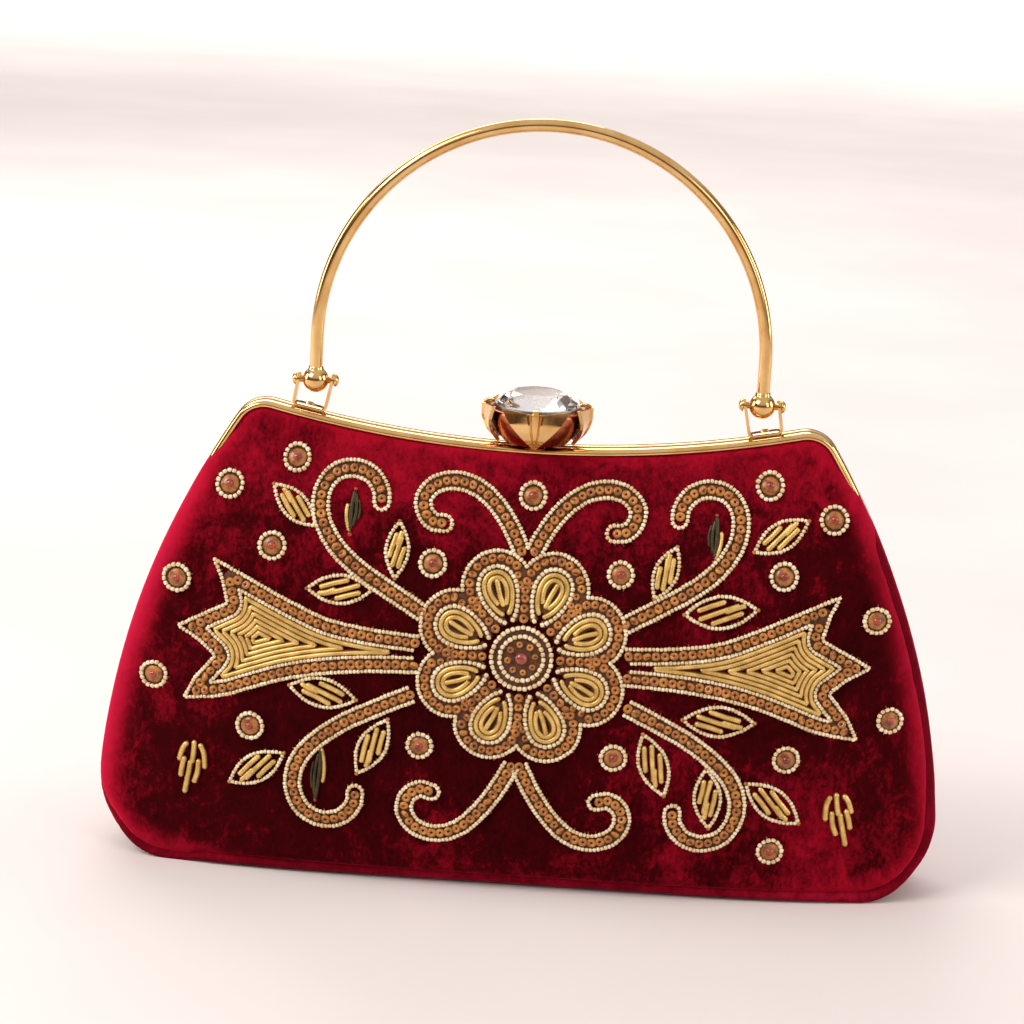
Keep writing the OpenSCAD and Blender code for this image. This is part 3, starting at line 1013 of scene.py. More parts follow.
@dataclass
class Shell:
    """One half of the case: how deep it is, how its edges round and where its seam runs."""

    side: Side
    outline: Outline
    depth: float = 28.0
    belly_z: float = 30.0
    belly_r: float = 220.0
    crown_r: float = 529.0
    base_r: float = 10.0
    edge_r: float = 6.4
    rail_in: float = 1.75
    rail_from: float = 119.6
    groove: float = 2.3

    def __post_init__(self) -> None:
        """Works out the edge, the seam and the hem along the outline."""
        o = self.outline
        x, z = o.points[:, 0], o.points[:, 1]
        self.top = smoothstep(self.rail_from, 126.0, z) * (z > self.rail_from)
        self.start = self.rail_in * self.top
        edge = o.points + self.start[:, None] * o.inward
        full = self.depth_at(edge[:, 0], edge[:, 1])
        flat = smoothstep(0.55, 0.985, o.inward[:, 1]) * (z < 40)
        cap = np.maximum(2.0, (full - 3.4) * 0.75)
        self.round = np.minimum(lerp(self.edge_r, 0.3, flat), cap)
        self.brim = full - self.round
        low = 1.0 - np.where(x < 0, smoothstep(8.0, 34.0, z), smoothstep(20.0, 50.0, z))
        sharp = 1.0 - np.where(x < 0, smoothstep(3.0, 15.0, z), smoothstep(14.0, 34.0, z))
        high = smoothstep(104.0, 113.0, z)
        if self.side is Side.FRONT:
            flank = np.where(x < 0, 1.6, -1.9)
            deep = np.where(x < 0, 0.25, 0.6)
        else:
            flank, deep = np.full_like(x, 1.2), np.full_like(x, 0.4)
        bottom = np.where(x < -95, -2.3, -3.5)
        self.seam = lerp(lerp(flank, 0.0, high), bottom, low)
        self.crease = lerp(lerp(deep, 0.0, high), 1.05, sharp)
        self.hem = lerp(self.groove, 0.2, smoothstep(4.6, 6.0, z))

    def depth_at(self, x: np.ndarray, z: np.ndarray, inset: float = 0.0) -> np.ndarray:
        """How far the full face stands from the parting plane.

        Args:
            x: place across the front.
            z: height.
            inset: how far the asked surface lies below the face.

        Returns:
            The depth at each place, before its edge is rounded.
        """
        z = np.maximum(z, 0.0)
        cy = self.depth - self.belly_r
        by = cy + math.sqrt((self.belly_r - self.base_r) ** 2
                            - (self.belly_z - self.base_r) ** 2)
        turn = self.base_r * (1 - math.sin(math.atan2(self.belly_z - self.base_r, by - cy)))
        upper = cy + np.sqrt(np.maximum((self.belly_r - inset) ** 2
                                        - (z - self.belly_z) ** 2, 0))
        lower = by + np.sqrt(np.maximum((self.base_r - inset) ** 2 - (self.base_r - z) ** 2, 0))
        belly = np.maximum(np.where(z < turn, np.minimum(lower, upper), upper), 4.4 - inset)
        crown = self.depth - self.crown_r + np.sqrt((self.crown_r - inset) ** 2 - x ** 2)
        k = 4.0
        h = np.clip(0.5 + 0.5 * (crown - belly) / k, 0, 1)
        return belly * h + crown * (1 - h) - k * h * (1 - h)

    def section(self, along: np.ndarray) -> np.ndarray:
        """Places on the shell by how far they are past its edge.

        Args:
            along: for each outline point, distances past the edge: below 0 on the face, above
                0 down the wall.

        Returns:
            The places, outline points by distances by 3.
        """
        o = self.outline
        inset = self.start[:, None] + np.maximum(-along, 0)
        flat = o.points[:, None] + inset[..., None] * o.inward[:, None]
        full = self.depth_at(flat[..., 0], flat[..., 1])
        r = self.round[:, None]
        near = np.clip(r + np.minimum(along, 0), 0, None)
        drop = r - np.sqrt(np.maximum(r * r - near * near, 0))
        y = full - drop - np.maximum(along, 0)
        return np.stack([flat[..., 0], self.side.value * y, flat[..., 1]], -1)


@dataclass
class VelvetFace:
    """The padded velvet face of one half, over foam."""

    shell: Shell
    seed: int
    inner: float = 7.5
    rings: int = 26
    spine: float = 62.0
    spine_z: float = 70.0
    foam: float = 4.2
    tuck: float = 1.5
    swell: float = 1.0
    stride: int = 5
    tracks: int = 15
    pressure: float = 4.0
    last_frame: int = 20
    solid: Solid | None = field(default=None, init=False)

    def build(self) -> Solid:
        """Makes the outer face with its seam, and the flat side that lies on the board.

        Returns:
            The closed pad.
        """
        s = self.shell
        steps = np.array([0, .13, .26, .38, .49, .59, .68, .75, .81, .86, .90, .935, .965, 1.0])
        along = -self.inner + (s.seam[:, None] + self.inner) * steps[None]
        rim = s.section(along)
        middle = self.filled(rim[:, 0], 0.0, self.rings)
        face = np.concatenate([middle[:, ::-1], rim[:, 1:]], 1)
        normals = grid_normals(face, True) * -s.side.value
        if np.mean(normals[..., 1] * s.side.value) < 0:
            normals = -normals
        face = face + normals * self._relief(face, along, middle.shape[1])[..., None]
        face = self._flat_base(self._settled(face, s.seam[:, None] - along[:, 1:]))
        edge, out = face[:, -1], normals[:, -1]
        turned = edge - out * self.tuck
        seat = s.section(np.full((len(edge), 1), -self.inner + 1.5))[:, 0]
        seat[:, 1] -= s.side.value * self.foam
        behind = self.filled(seat, self.foam, 5)[:, 1:]
        grid = np.concatenate([face, turned[:, None], seat[:, None], behind], 1)
        rows, columns = grid.shape[:2]
        self.solid = Solid(grid.reshape(-1, 3), grid_faces(rows, columns, loop_rows=True))
        return self.solid

    def filled(self, ring: np.ndarray, sunk: float, count: int) -> np.ndarray:
        """Fills a ring with rings that shrink to a line in its middle.

        Args:
            ring: the outer ring.
            sunk: how far the filled part lies below the face.
            count: number of rings.

        Returns:
            The rings from the given one inwards.
        """
        s, half = self.shell, self.shell.outline.half_count
        n = len(ring)
        i = np.arange(n)
        share = 1 - np.abs(2 * np.minimum(i, n - i) / half - 1)
        reach = np.sin(np.minimum(share * 1.15, 1.0) * math.pi / 2) * self.spine
        sign = np.where(i <= half, 1.0, -1.0)
        goal = np.stack([sign * reach, np.full(n, self.spine_z)], -1)
        t = np.linspace(0, 1, count + 1)
        flat = lerp(ring[:, None, [0, 2]], goal[:, None], t[None, :, None])
        y = self.shell.depth_at(flat[..., 0], flat[..., 1], sunk)
        rings = np.stack([flat[..., 0], s.side.value * y, flat[..., 1]], -1)
        rings[:, 0] = ring
        return rings

    def _relief(self, face: np.ndarray, along: np.ndarray, skip: int) -> np.ndarray:
        """The seam's crease, the puckers beside it and the soft unevenness of the padding.

        Args:
            face: the face's points.
            along: distance past the edge of its outer rings.
            skip: number of rings before those.

        Returns:
            How far each point moves outwards.
        """
        s = self.shell
        rng = np.random.default_rng(self.seed)
        x, z = face[..., 0], face[..., 2]
        lift = np.zeros(x.shape)
        for _ in range(26):
            length = rng.uniform(22, 70)
            a, phase = rng.uniform(0, 2 * math.pi, 2)
            wave = np.cos((x * math.cos(a) + z * math.sin(a)) * 2 * math.pi / length + phase)
            lift += wave * 0.0035 * length * 0.28
        fade = np.ones(x.shape)
        off = s.seam[:, None] - along[:, 1:]
        fade[:, skip:] = smoothstep(0.0, 6.0, off)
        lift *= fade
        gap = np.exp(-(off / 0.95) ** 2)
        lift[:, skip:] -= s.crease[:, None] * gap
        lift[:, skip:] += 0.35 * s.crease[:, None] * np.exp(-((off - 3.0) / 1.6) ** 2)
        if s.side is Side.FRONT:
            for height, deep in ((109.0, 0.5), (92.0, 0.45), (70.0, 0.35)):
                dent = np.exp(-((z[:, skip:] - height) / 1.4) ** 2) * np.exp(-(off / 2.6) ** 2)
                lift[:, skip:] -= deep * dent * (x[:, skip:] > 0)
        return lift

    def _settled(self, face: np.ndarray, off: np.ndarray) -> np.ndarray:
        """Lets the cloth settle under the pressure of the wadding.

        Args:
            face: the face's points.
            off: distance of its outer rings from the seam.

        Returns:
            The face after the cloth has settled, each point moved by no more than the swell.
        """
        rows, columns = face.shape[:2]
        picked = np.unique(np.linspace(2, columns - 1, self.tracks).astype(int))
        coarse = face[::self.stride][:, picked]
        count = coarse.shape[:2]
        solid = Solid(coarse.reshape(-1, 3), grid_faces(*count, loop_rows=True))
        obj = solid.object("settling_cloth", smooth=False)
        held = np.full(face.shape[:2], 99.0)
        held[:, columns - off.shape[1]:] = off
        weight = (1.0 - smoothstep(1.5, 7.0, held[::self.stride][:, picked])).ravel()
        group = obj.vertex_groups.new(name="pinned")
        for i, w in enumerate(weight):
            group.add([i], float(w), "REPLACE")
        cloth = obj.modifiers.new("cloth", "CLOTH")
        cloth.settings.quality = 6
        cloth.settings.vertex_group_mass = "pinned"
        cloth.settings.mass, cloth.settings.air_damping = 0.03, 1.0
        cloth.settings.use_pressure = True
        outward = obj.data.polygons[count[1] * 3 + 4].normal.y * self.shell.side.value > 0
        cloth.settings.uniform_pressure_force = self.pressure if outward else -self.pressure
        cloth.settings.tension_stiffness = cloth.settings.compression_stiffness = 12.0
        cloth.settings.bending_stiffness = 1.5
        cloth.settings.effector_weights.gravity = 0.0
        cloth.point_cache.frame_start, cloth.point_cache.frame_end = 1, self.last_frame
        scene = bpy.context.scene
        for tick in range(1, self.last_frame + 1):
            scene.frame_set(tick)
        graph = bpy.context.evaluated_depsgraph_get()
        mesh = obj.evaluated_get(graph).to_mesh()
        after = np.array([v.co[:] for v in mesh.vertices]) / MM
        scene.frame_set(1)
        bpy.data.objects.remove(obj)
        shift = (after - coarse.reshape(-1, 3)).reshape(*count, 3)
        long = np.linalg.norm(shift, axis=-1, keepdims=True)
        log.info("cloth settled by up to %.2f mm", float(long.max()))
        shift *= self.swell / (self.swell + long)
        ring = np.concatenate([shift, shift[:1]])
        spots = np.arange(rows) / self.stride
        low = spots.astype(int)
        along = lerp(ring[low], ring[low + 1], (spots - low)[:, None, None])
        fine = np.stack([np.stack([np.interp(np.arange(columns), picked, line[:, k])
                                   for k in range(3)], -1) for line in along])
        for _ in range(4):
            fine = (fine + np.roll(fine, 1, 0) + np.roll(fine, -1, 0)) / 3
            fine[:, 1:-1] = (fine[:, :-2] + fine[:, 1:-1] + fine[:, 2:]) / 3
        across = (self.shell.outline.half_count - np.arange(rows)) % rows
        fine[:, 0] = (fine[:, 0] + fine[across, 0]) / 2
        return face + fine

    def _flat_base(self, face: np.ndarray) -> np.ndarray:
        """Keeps the padding above the surface the bag stands on."""
        face[..., 2] = np.maximum(face[..., 2], 0.05)
        return face

    def dress(self, name: str, body: Body, nodes: Sequence[str]) -> bpy.types.Object:
        """Makes the piece.

        Args:
            name: the piece's name.
            body: the body it rides on.
            nodes: the CAD nodes it stands for.

        Returns:
            The padded face.
        """
        obj = self.solid.object(name, weld=0.02)
        # painted sheen along the rim of the case
        self._mark_painted_sheen(obj)
        dress(obj, VELVET, body, nodes)
        return obj

    def _mark_painted_sheen(self, obj: bpy.types.Object) -> None:
        """Notes a painted sheen along the edge of the case, as the 'edge' attribute.

        Args:
            obj: the velvet face.
        """
        line = self.shell.outline.points
        line = np.concatenate([lerp(line, np.roll(line, -1, 0), t) for t in (0, .25, .5, .75)])
        spots = np.array([v.co[:] for v in obj.data.vertices])[:, [0, 2]] / MM
        near = np.array([np.sqrt(((line - p) ** 2).sum(1).min()) for p in spots])
        x, z = spots.T
        # painted highlight: stronger on the flanks and on the left, where the light comes from, and
        # weaker at the top
        flank = smoothstep(70.0, 112.0, np.abs(x)) * (1 - 0.5 * smoothstep(112.0, 128.0, z))
        much = lerp(0.35, np.where(x < 0, 0.85, 0.7), flank)
        edge = obj.data.attributes.new("edge", "FLOAT", "POINT")
        rim_sheen = much * (1 - smoothstep(0.0, lerp(6.0, 10.5, flank), near))
        edge.data.foreach_set("value", rim_sheen.astype(np.float32))


@dataclass
class VelvetWall:
    """The velvet strip round the rim of one half, from the seam to the hem."""

    shell: Shell
    thick: float = 1.1
    end_z: float = 113.85
    length: float = 470.0

    def build(self) -> Solid:
        """Makes the strip, closed all round.

        Returns:
            The strip.
        """
        s = self.shell
        n = len(s.seam)
        last = s.brim - s.hem
        steps = np.array([0, .03, .07, .12, .19, .27, .36, .47, .6, .74, .88, .96, 1.0])
        along = s.seam[:, None] + (last - s.seam)[:, None] * steps[None]
        outer = s.section(along)
        normals = grid_normals(outer, True)
        middle = np.array([0.0, 0.0, 65.0])
        if np.mean(np.sum(normals * (outer - middle), -1)) < 0:
            normals = -normals
        off = along - s.seam[:, None]
        puff = -s.crease[:, None] * np.exp(-(off / 0.95) ** 2)
        puff += 0.3 * s.crease[:, None] * np.exp(-((off - 1.8) / 0.9) ** 2)
        outer = outer + normals * puff[..., None]
        outer[..., 2] = np.maximum(outer[..., 2], 0.0)
        inner = outer - normals * self.thick
        inner[:, -1, 1] = outer[:, -1, 1]
        loop = np.concatenate([outer, inner[:, ::-1]], 1)
        keep = s.outline.points[:, 1] < self.end_z
        half = s.outline.half_count
        order = [i % n for i in range(-(n - half) + 1, half) if keep[i % n]]
        grid = loop[order]
        z = s.outline.points[:, 1]
        ends = []
        for here, beyond in ((order[0], (order[0] - 1) % n), (order[-1], (order[-1] + 1) % n)):
            t = (self.end_z - z[here]) / (z[beyond] - z[here])
            ends.append(lerp(loop[here], loop[beyond], t))
        grid = np.concatenate([ends[0][None], grid, ends[1][None]])
        return Solid(grid.reshape(-1, 3), tube_faces(*grid.shape[:2]))

    def dress(self, name: str, body: Body, node: str) -> bpy.types.Object:
        """Makes the piece.

        Args:
            name: the piece's name.
            body: the body it rides on.
            node: the CAD node it stands for.

        Returns:
            The velvet strip.
        """
        # the lighter velvet copy paints the sheen on the strip
        obj = dress(self.build().object(name), SHEEN_LIT_VELVET, body, [node])
        return obj


@dataclass
class Lining:
    """The satin bowl inside one half, which also covers the edge of the board."""

    shell: Shell
    seed: int
    wall: float = 3.45
    thick: float = 6.8
    corner: float = 4.0
    rings: int = 20

    def build(self) -> Solid:
        """Makes the bowl from its hem to its middle.

        Returns:
            The open sheet.
        """
        s, o = self.shell, self.shell.outline
        rng = np.random.default_rng(self.seed)
        rows = []

        def add(inset: float, y: np.ndarray) -> None:
            """Adds a ring at one inset, y from the parting plane."""
            flat = o.points + inset * o.inward
            rows.append(np.stack([flat[:, 0], s.side.value * y, flat[:, 1]], -1))

        hem = np.maximum(s.hem - 0.12, 0.08)
        add(1.35, hem)
        add(2.2, hem - 0.03)
        add(3.0, hem)
        floor = self._depth(o.points + (self.wall + self.corner) * o.inward)
        low = np.maximum(floor - self.corner, hem)
        for t in np.linspace(0.0, 1.0, 6):
            add(self.wall, lerp(np.minimum(hem + 0.3, low), low, t))
        for a in np.radians([30, 60, 90]):
            inset = self.wall + self.corner * (1 - math.cos(a))
            here = self._depth(o.points + inset * o.inward)
            add(inset, np.maximum(np.minimum(lerp(low, floor, math.sin(a)), here), hem))
        ring = rows[-1]
        pad = VelvetFace(s, self.seed)
        inner = pad.filled(ring, self.thick, self.rings)
        y = np.abs(inner[..., 1])
        inner[..., 1] = s.side.value * np.maximum(inner[..., 1] * s.side.value, 0.08)
        wave = np.zeros(y.shape)
        for _ in range(18):
            a, phase = rng.uniform(0, 2 * math.pi, 2)
            length = rng.uniform(12, 40)
            wave += np.cos((inner[..., 0] * math.cos(a) + inner[..., 2] * math.sin(a))
                           * 2 * math.pi / length + phase)
        inner[:, 1:, 1] -= (s.side.value * 0.09 * np.abs(wave) * smoothstep(1.0, 4.0, y))[:, 1:]
        grid = np.concatenate([np.stack(rows, 1), inner[:, 1:]], 1)
        count, columns = grid.shape[:2]
        return Solid(grid.reshape(-1, 3), grid_faces(count, columns, loop_rows=True))

    def _depth(self, flat: np.ndarray) -> np.ndarray:
        """How deep the bowl is at flat places."""
        return np.maximum(self.shell.depth_at(flat[:, 0], flat[:, 1], self.thick), 0.08)

    def dress(self, name: str, body: Body, node: str) -> bpy.types.Object:
        """Makes the piece.

        Args:
            name: the piece's name.
            body: the body it rides on.
            node: the CAD node it stands for.

        Returns:
            The lining.
        """
        obj = dress(self.build().object(name, weld=0.02), SATIN, body, [node])
        return obj


@dataclass
class RailBar:
    """Half of the gilt top rail: a crowned bar with a lip over the velvet."""

    shell: Shell
    end_z: float = 114.0

    def build(self) -> Solid:
        """Sweeps the bar's section along the top of the case.

        Returns:
            The bar.
        """
        o = self.shell.outline
        section = [(0.42, 0.17), (0.16, 0.5), (0.03, 1.2), (0.0, 2.0), (0.05, 2.8), (0.2, 3.5),
                   (0.48, 4.05), (0.85, 4.36), (1.25, 4.48), (1.65, 4.48), (1.9, 4.36),
                   (1.98, 4.1), (1.9, 3.85), (1.6, 3.75), (1.5, 3.5), (1.5, 0.17)]
        n = len(o.points)
        order = [i for i in range(n) if o.points[i, 1] >= self.end_z]
        legs = []
        for sign in (1, -1):
            a = math.asin(self.end_z / o.side_r)
            tip = np.array([sign * (o.side_r * math.cos(a) - o.side_cx), self.end_z])
            legs.append((tip, np.array([-sign * math.cos(a), -math.sin(a)])))
        spots = np.array([legs[0][0], *o.points[order], legs[1][0]])
        inward = np.array([legs[0][1], *o.inward[order], legs[1][1]])
        grid = np.array([[[p[0] + t * d[0], self.shell.side.value * y, p[1] + t * d[1]]
                          for t, y in section] for p, d in zip(spots, inward)])
        return Solid(grid.reshape(-1, 3), tube_faces(*grid.shape[:2]))

    def dress(self, name: str, body: Body, node: str) -> bpy.types.Object:
        """Makes the piece that rides on body and stands for node."""
        return dress(self.build().object(name), GILT, body, [node])


# ---------------------------------------------------------------- beadwork


class Ground:
    """The velvet under the beadwork, asked for its place and slope."""

    def __init__(self, face: Solid) -> None:
        """Keeps the face in a form that can be probed."""
        self.tree = BVHTree.FromPolygons(face.points.tolist(), face.faces)

    def at(self, spots: np.ndarray) -> tuple[np.ndarray, np.ndarray]:
        """Finds the velvet at flat places.

        Args:
            spots: places (x, z) on the front.

        Returns:
            The points on the velvet, and its outward normals.
        """
        points, normals = [], []
        for x, z in np.asarray(spots, float):
            hit, normal, _, _ = self.tree.ray_cast(Vector((x, -60, z)), Vector((0, 1, 0)))
            if hit is None:
                hit, normal = Vector((x, -20, z)), Vector((0, -1, 0))
            points.append(tuple(hit))
            normals.append(tuple(normal if normal.y < 0 else -normal))
        return np.array(points), np.array(normals)


def barrel(sides: int = 8) -> Solid:
    """A seed bead of length 1 along X and radius 1, with rounded ends.

    Args:
        sides: steps round it.

    Returns:
        The bead.
    """
    profile = [(-0.5, 0.5), (-0.42, 0.84), (-0.2, 1.0), (0.2, 1.0), (0.42, 0.84), (0.5, 0.5)]
    a = np.arange(sides) * 2 * math.pi / sides
    points = np.concatenate([np.stack([np.full(sides, x), r * np.cos(a), r * np.sin(a)], -1)
                             for x, r in profile])
    return Solid(points, tube_faces(len(profile), sides))


def ring_bead(major: int = 14, minor: int = 8, hole: float = 0.2) -> Solid:
    """A seed bead of radius 1 that lies on its side, with its hole along Z.

    Args:
        major: steps round the hole.
        minor: steps round its section.
        hole: radius of the hole.

    Returns:
        The bead.
    """
    a = np.arange(major) * 2 * math.pi / major
    b = np.arange(minor) * 2 * math.pi / minor
    middle, thick = (1 + hole) / 2, (1 - hole) / 2
    r = middle + thick * np.cos(b)
    grid = np.stack([r[None] * np.cos(a)[:, None], r[None] * np.sin(a)[:, None],
                     np.broadcast_to(thick * 1.1 * np.sin(b), (major, minor))], -1)
    return Solid(grid.reshape(-1, 3), grid_faces(major, minor, True, True))


def dome(sides: int = 20) -> Solid:
    """A polished round stone of radius 1, standing on Z = 0.

    Args:
        sides: steps round it.

    Returns:
        The stone.
    """
    profile = [(0.9, 0.0), (1.0, 0.12), (0.97, 0.34), (0.84, 0.58), (0.62, 0.76), (0.34, 0.87),
               (0.02, 0.9)]
    return lathe(profile, sides)


SEWN_LOOKS = {
    "cream_beads": (CREAM, Slot.BEADS), "amber_beads": (AMBER, Slot.BEADS),
    "stones": (CARNELIAN, Slot.BEADS), "setting": (SETTING, Slot.BEADS),
    "heart": (GARNET, Slot.BEADS), "bullion": (BULLION, Slot.BULLION),
    "olive": (OLIVE, Slot.BULLION), "felt": (THREAD, Slot.BEADS),
    "threads": (ORANGE_THREAD, Slot.BEADS)}


class Sewing:
    """Gathers the beads, coils and threads of one motif, and makes them into pieces."""

    def __init__(self, ground: Ground, seed: int) -> None:
        """Starts with nothing sewn on.

        Args:
            ground: the velvet it is sewn to.
            seed: seed of its small irregularities.
        """
        self.ground = ground
        self.random = random.Random(seed)
        self.parts: dict[str, list[Solid]] = {}
        self.sewn: list[np.ndarray] = []
        self.cream, self.amber = barrel(), ring_bead()

    def frames(self, line: np.ndarray, closed: bool) -> tuple[np.ndarray, ...]:
        """Frames along a flat line.

        Args:
            line: the line.
            closed: whether it is a loop.

        Returns:
            Points, tangents, crosswise directions and normals.
        """
        points, normals = self.ground.at(line)
        if closed:
            tangents = np.roll(points, -1, 0) - np.roll(points, 1, 0)
        else:
            tangents = np.gradient(points, axis=0)
        tangents = unit(tangents)
        across = unit(np.cross(normals, tangents))
        return points, tangents, across, unit(np.cross(tangents, across))

    def add(self, kind: str, solid: Solid) -> None:
        """Puts a solid among the motif's parts of one kind."""
        self.parts.setdefault(kind, []).append(solid)

    def cream_row(self, line: np.ndarray, pitch: float = 1.2, width: float = 1.3,
                  closed: bool = False, kind: str = "cream_beads") -> None:
        """Sews a row of cream beads.

        Args:
            line: the flat line of the row.
            pitch: distance from bead to bead.
            width: width of the beads.
            closed: whether the row is a loop.
            kind: the parts it counts among.
        """
        spots = spaced(line, pitch, closed)
        if len(spots) < 2:
            return
        points, t, a, n = self.frames(spots, closed)
        size = self.random
        for p, x, y, z in zip(points, t, a, n):
            yaw = size.uniform(-0.22, 0.22)
            x, y = x * math.cos(yaw) + y * math.sin(yaw), y * math.cos(yaw) - x * math.sin(yaw)
            long, wide = pitch * size.uniform(0.86, 0.98), width / 2 * size.uniform(0.9, 1.08)
            matrix = np.stack([x * long, y * wide, z * wide], -1)
            self.add(kind, self.cream.moved(matrix, p + z * (wide + 0.12)
                                            + y * size.uniform(-0.07, 0.07)))
        self.fringe(points, t, a, n, width)

    def fringe(self, points: np.ndarray, t: np.ndarray, a: np.ndarray, n: np.ndarray,
               width: float) -> None:
        """Lets ends of couching thread show beside a row.

        Args:
            points: the beads' places on the velvet.
            t: the row's directions.
            a: the crosswise directions.
            n: the normals.
            width: width of the beads.
        """
        for i in range(len(points)):
            if self.random.random() > 0.55:
                continue
            side = self.random.choice((-1, 1))
            out = side * a[i] + self.random.uniform(-0.5, 0.5) * t[i]
            start = points[i] + side * a[i] * width * 0.3 + n[i] * 0.45
            end = points[i] + out * (width * 0.5 + self.random.uniform(0.15, 0.5)) + n[i] * 0.08
            middle = (start + end) / 2 + n[i] * 0.14
            self.add("threads", tube(np.array([start, middle, end]), 0.11, 5))

    def amber_row(self, line: np.ndarray, pitch: float = 2.6, size: float = 2.85,
                  closed: bool = False) -> None:
        """Sews a row of amber ring beads, most with their holes outwards.

        Args:
            line: the flat line of the row.
            pitch: distance from bead to bead.
            size: diameter of the beads.
            closed: whether the row is a loop.
        """
        spots = spaced(line, pitch, closed)
        if len(spots) < 2:
            return
        points, t, a, n = self.frames(spots, closed)
        for p, x, y, z in zip(points, t, a, n):
            self.amber_bead(p, x, y, z, size)

    def amber_bead(self, p: np.ndarray, x: np.ndarray, y: np.ndarray, z: np.ndarray,
                   size: float) -> None:
        """Sews one ring bead, tipped a little or a lot, unless another is in its place.

        Args:
            p: its place.
            x: direction of its row.
            y: crosswise direction.
            z: normal of the velvet.
            size: its diameter.
        """
        if any(np.linalg.norm(p - q) < 0.74 * size for q in self.sewn):
            return
        self.sewn.append(p)
        r = size / 2 * self.random.uniform(0.93, 1.05)
        tip = self.random.uniform(0.0, 0.28)
        if self.random.random() < 0.25:
            tip = self.random.uniform(0.5, 1.0)
        turn = self.random.uniform(0, 2 * math.pi)
        axis = x * math.cos(turn) + y * math.sin(turn)
        spin = np.array(Matrix.Rotation(tip, 3, Vector(axis)))
        matrix = spin @ np.stack([x * r, y * r, z * r], -1)
        lift = 0.5 + 0.6 * math.sin(tip)
        self.add("amber_beads", self.amber.moved(matrix, p + z * lift))

    def coil(self, line: np.ndarray, radius: float = 0.72, closed: bool = False,
             kind: str = "bullion", lift: float = 0.85, turn: float = 0.72) -> None:
        """Lays a length of bullion.

        Args:
            line: the flat line of its middle.
            radius: its radius.
            closed: whether it is a loop.
            kind: the parts it counts among.
            lift: height of its middle, in radii.
            turn: distance from one turn of its wire to the next.
        """
        if closed:
            line = np.concatenate([line, line[:2]])
        spots = spaced(line, turn / 2)
        if len(spots) < 5:
            return
        points, normals = self.ground.at(spots)
        path = points + normals * radius * lift
        radii = np.where(np.arange(len(path)) % 2 == 0, radius * 1.05, radius * 0.74)
        radii[0], radii[-1] = radius * 0.55, radius * 0.55
        self.add(kind, tube(path, radii, 8))

    def felt(self, line: np.ndarray, width: float, closed: bool = False,
             lift: float = 0.2) -> None:
        """Lays a dark strip of padding thread under a row.

        Args:
            line: the flat line of its middle.
            width: its width.
            closed: whether it is a loop.
            lift: its height above the velvet.
        """
        spots = spaced(line, 1.2, closed)
        if len(spots) < 2:
            return
        points, _, a, n = self.frames(spots, closed)
        across = np.array([(-0.5, 0.0), (-0.42, 1.0), (0.0, 1.5), (0.42, 1.0), (0.5, 0.0)])
        grid = (points[:, None] + a[:, None] * (across[:, 0] * width)[None, :, None]
                + n[:, None] * (across[:, 1] * lift - 0.03)[None, :, None])
        rows, columns = grid.shape[:2]
        self.add("felt", Solid(grid.reshape(-1, 3), grid_faces(rows, columns, closed)))

    def stone(self, spot: Sequence[float], radius: float, kind: str = "stones",
              height: float = 1.0) -> None:
        """Sets one cut stone.

        Args:
            spot: its flat place.
            radius: its radius.
            kind: the parts it counts among.
            height: stretch of its height.
        """
        points, normals = self.ground.at(np.array([spot]))
        z = normals[0]
        x = unit(np.cross(z, UP))
        y = np.cross(z, x)
        matrix = np.stack([x * radius, y * radius, z * radius * height], -1)
        self.add(kind, dome().moved(matrix, points[0] + z * 0.25))

    def dress(self, motif: str, node: str) -> None:
        """Makes one piece of each kind.

        Args:
            motif: name of the motif, which starts the pieces' names.
            node: the CAD node they stand for.
        """
        for kind, parts in self.parts.items():
            finish, slot = SEWN_LOOKS[kind]
            obj = Solid.joined(parts).object(f"{motif}_{kind}")
            dress(obj, finish, Body.FRONT, [node])


@dataclass
class Motif:
    """A piece of embroidery on the velvet front."""

    ground: Ground
    name: ClassVar[str] = ""
    node: ClassVar[str] = ""
    seed: ClassVar[int] = 0

    def sew(self, sewing: Sewing) -> None:
        """Sews the motif's parts with sewing."""
        raise NotImplementedError

    def dress(self) -> None:
        """Makes the motif's pieces."""
        sewing = Sewing(self.ground, self.seed)
        self.sew(sewing)
        sewing.dress(self.name, self.node)


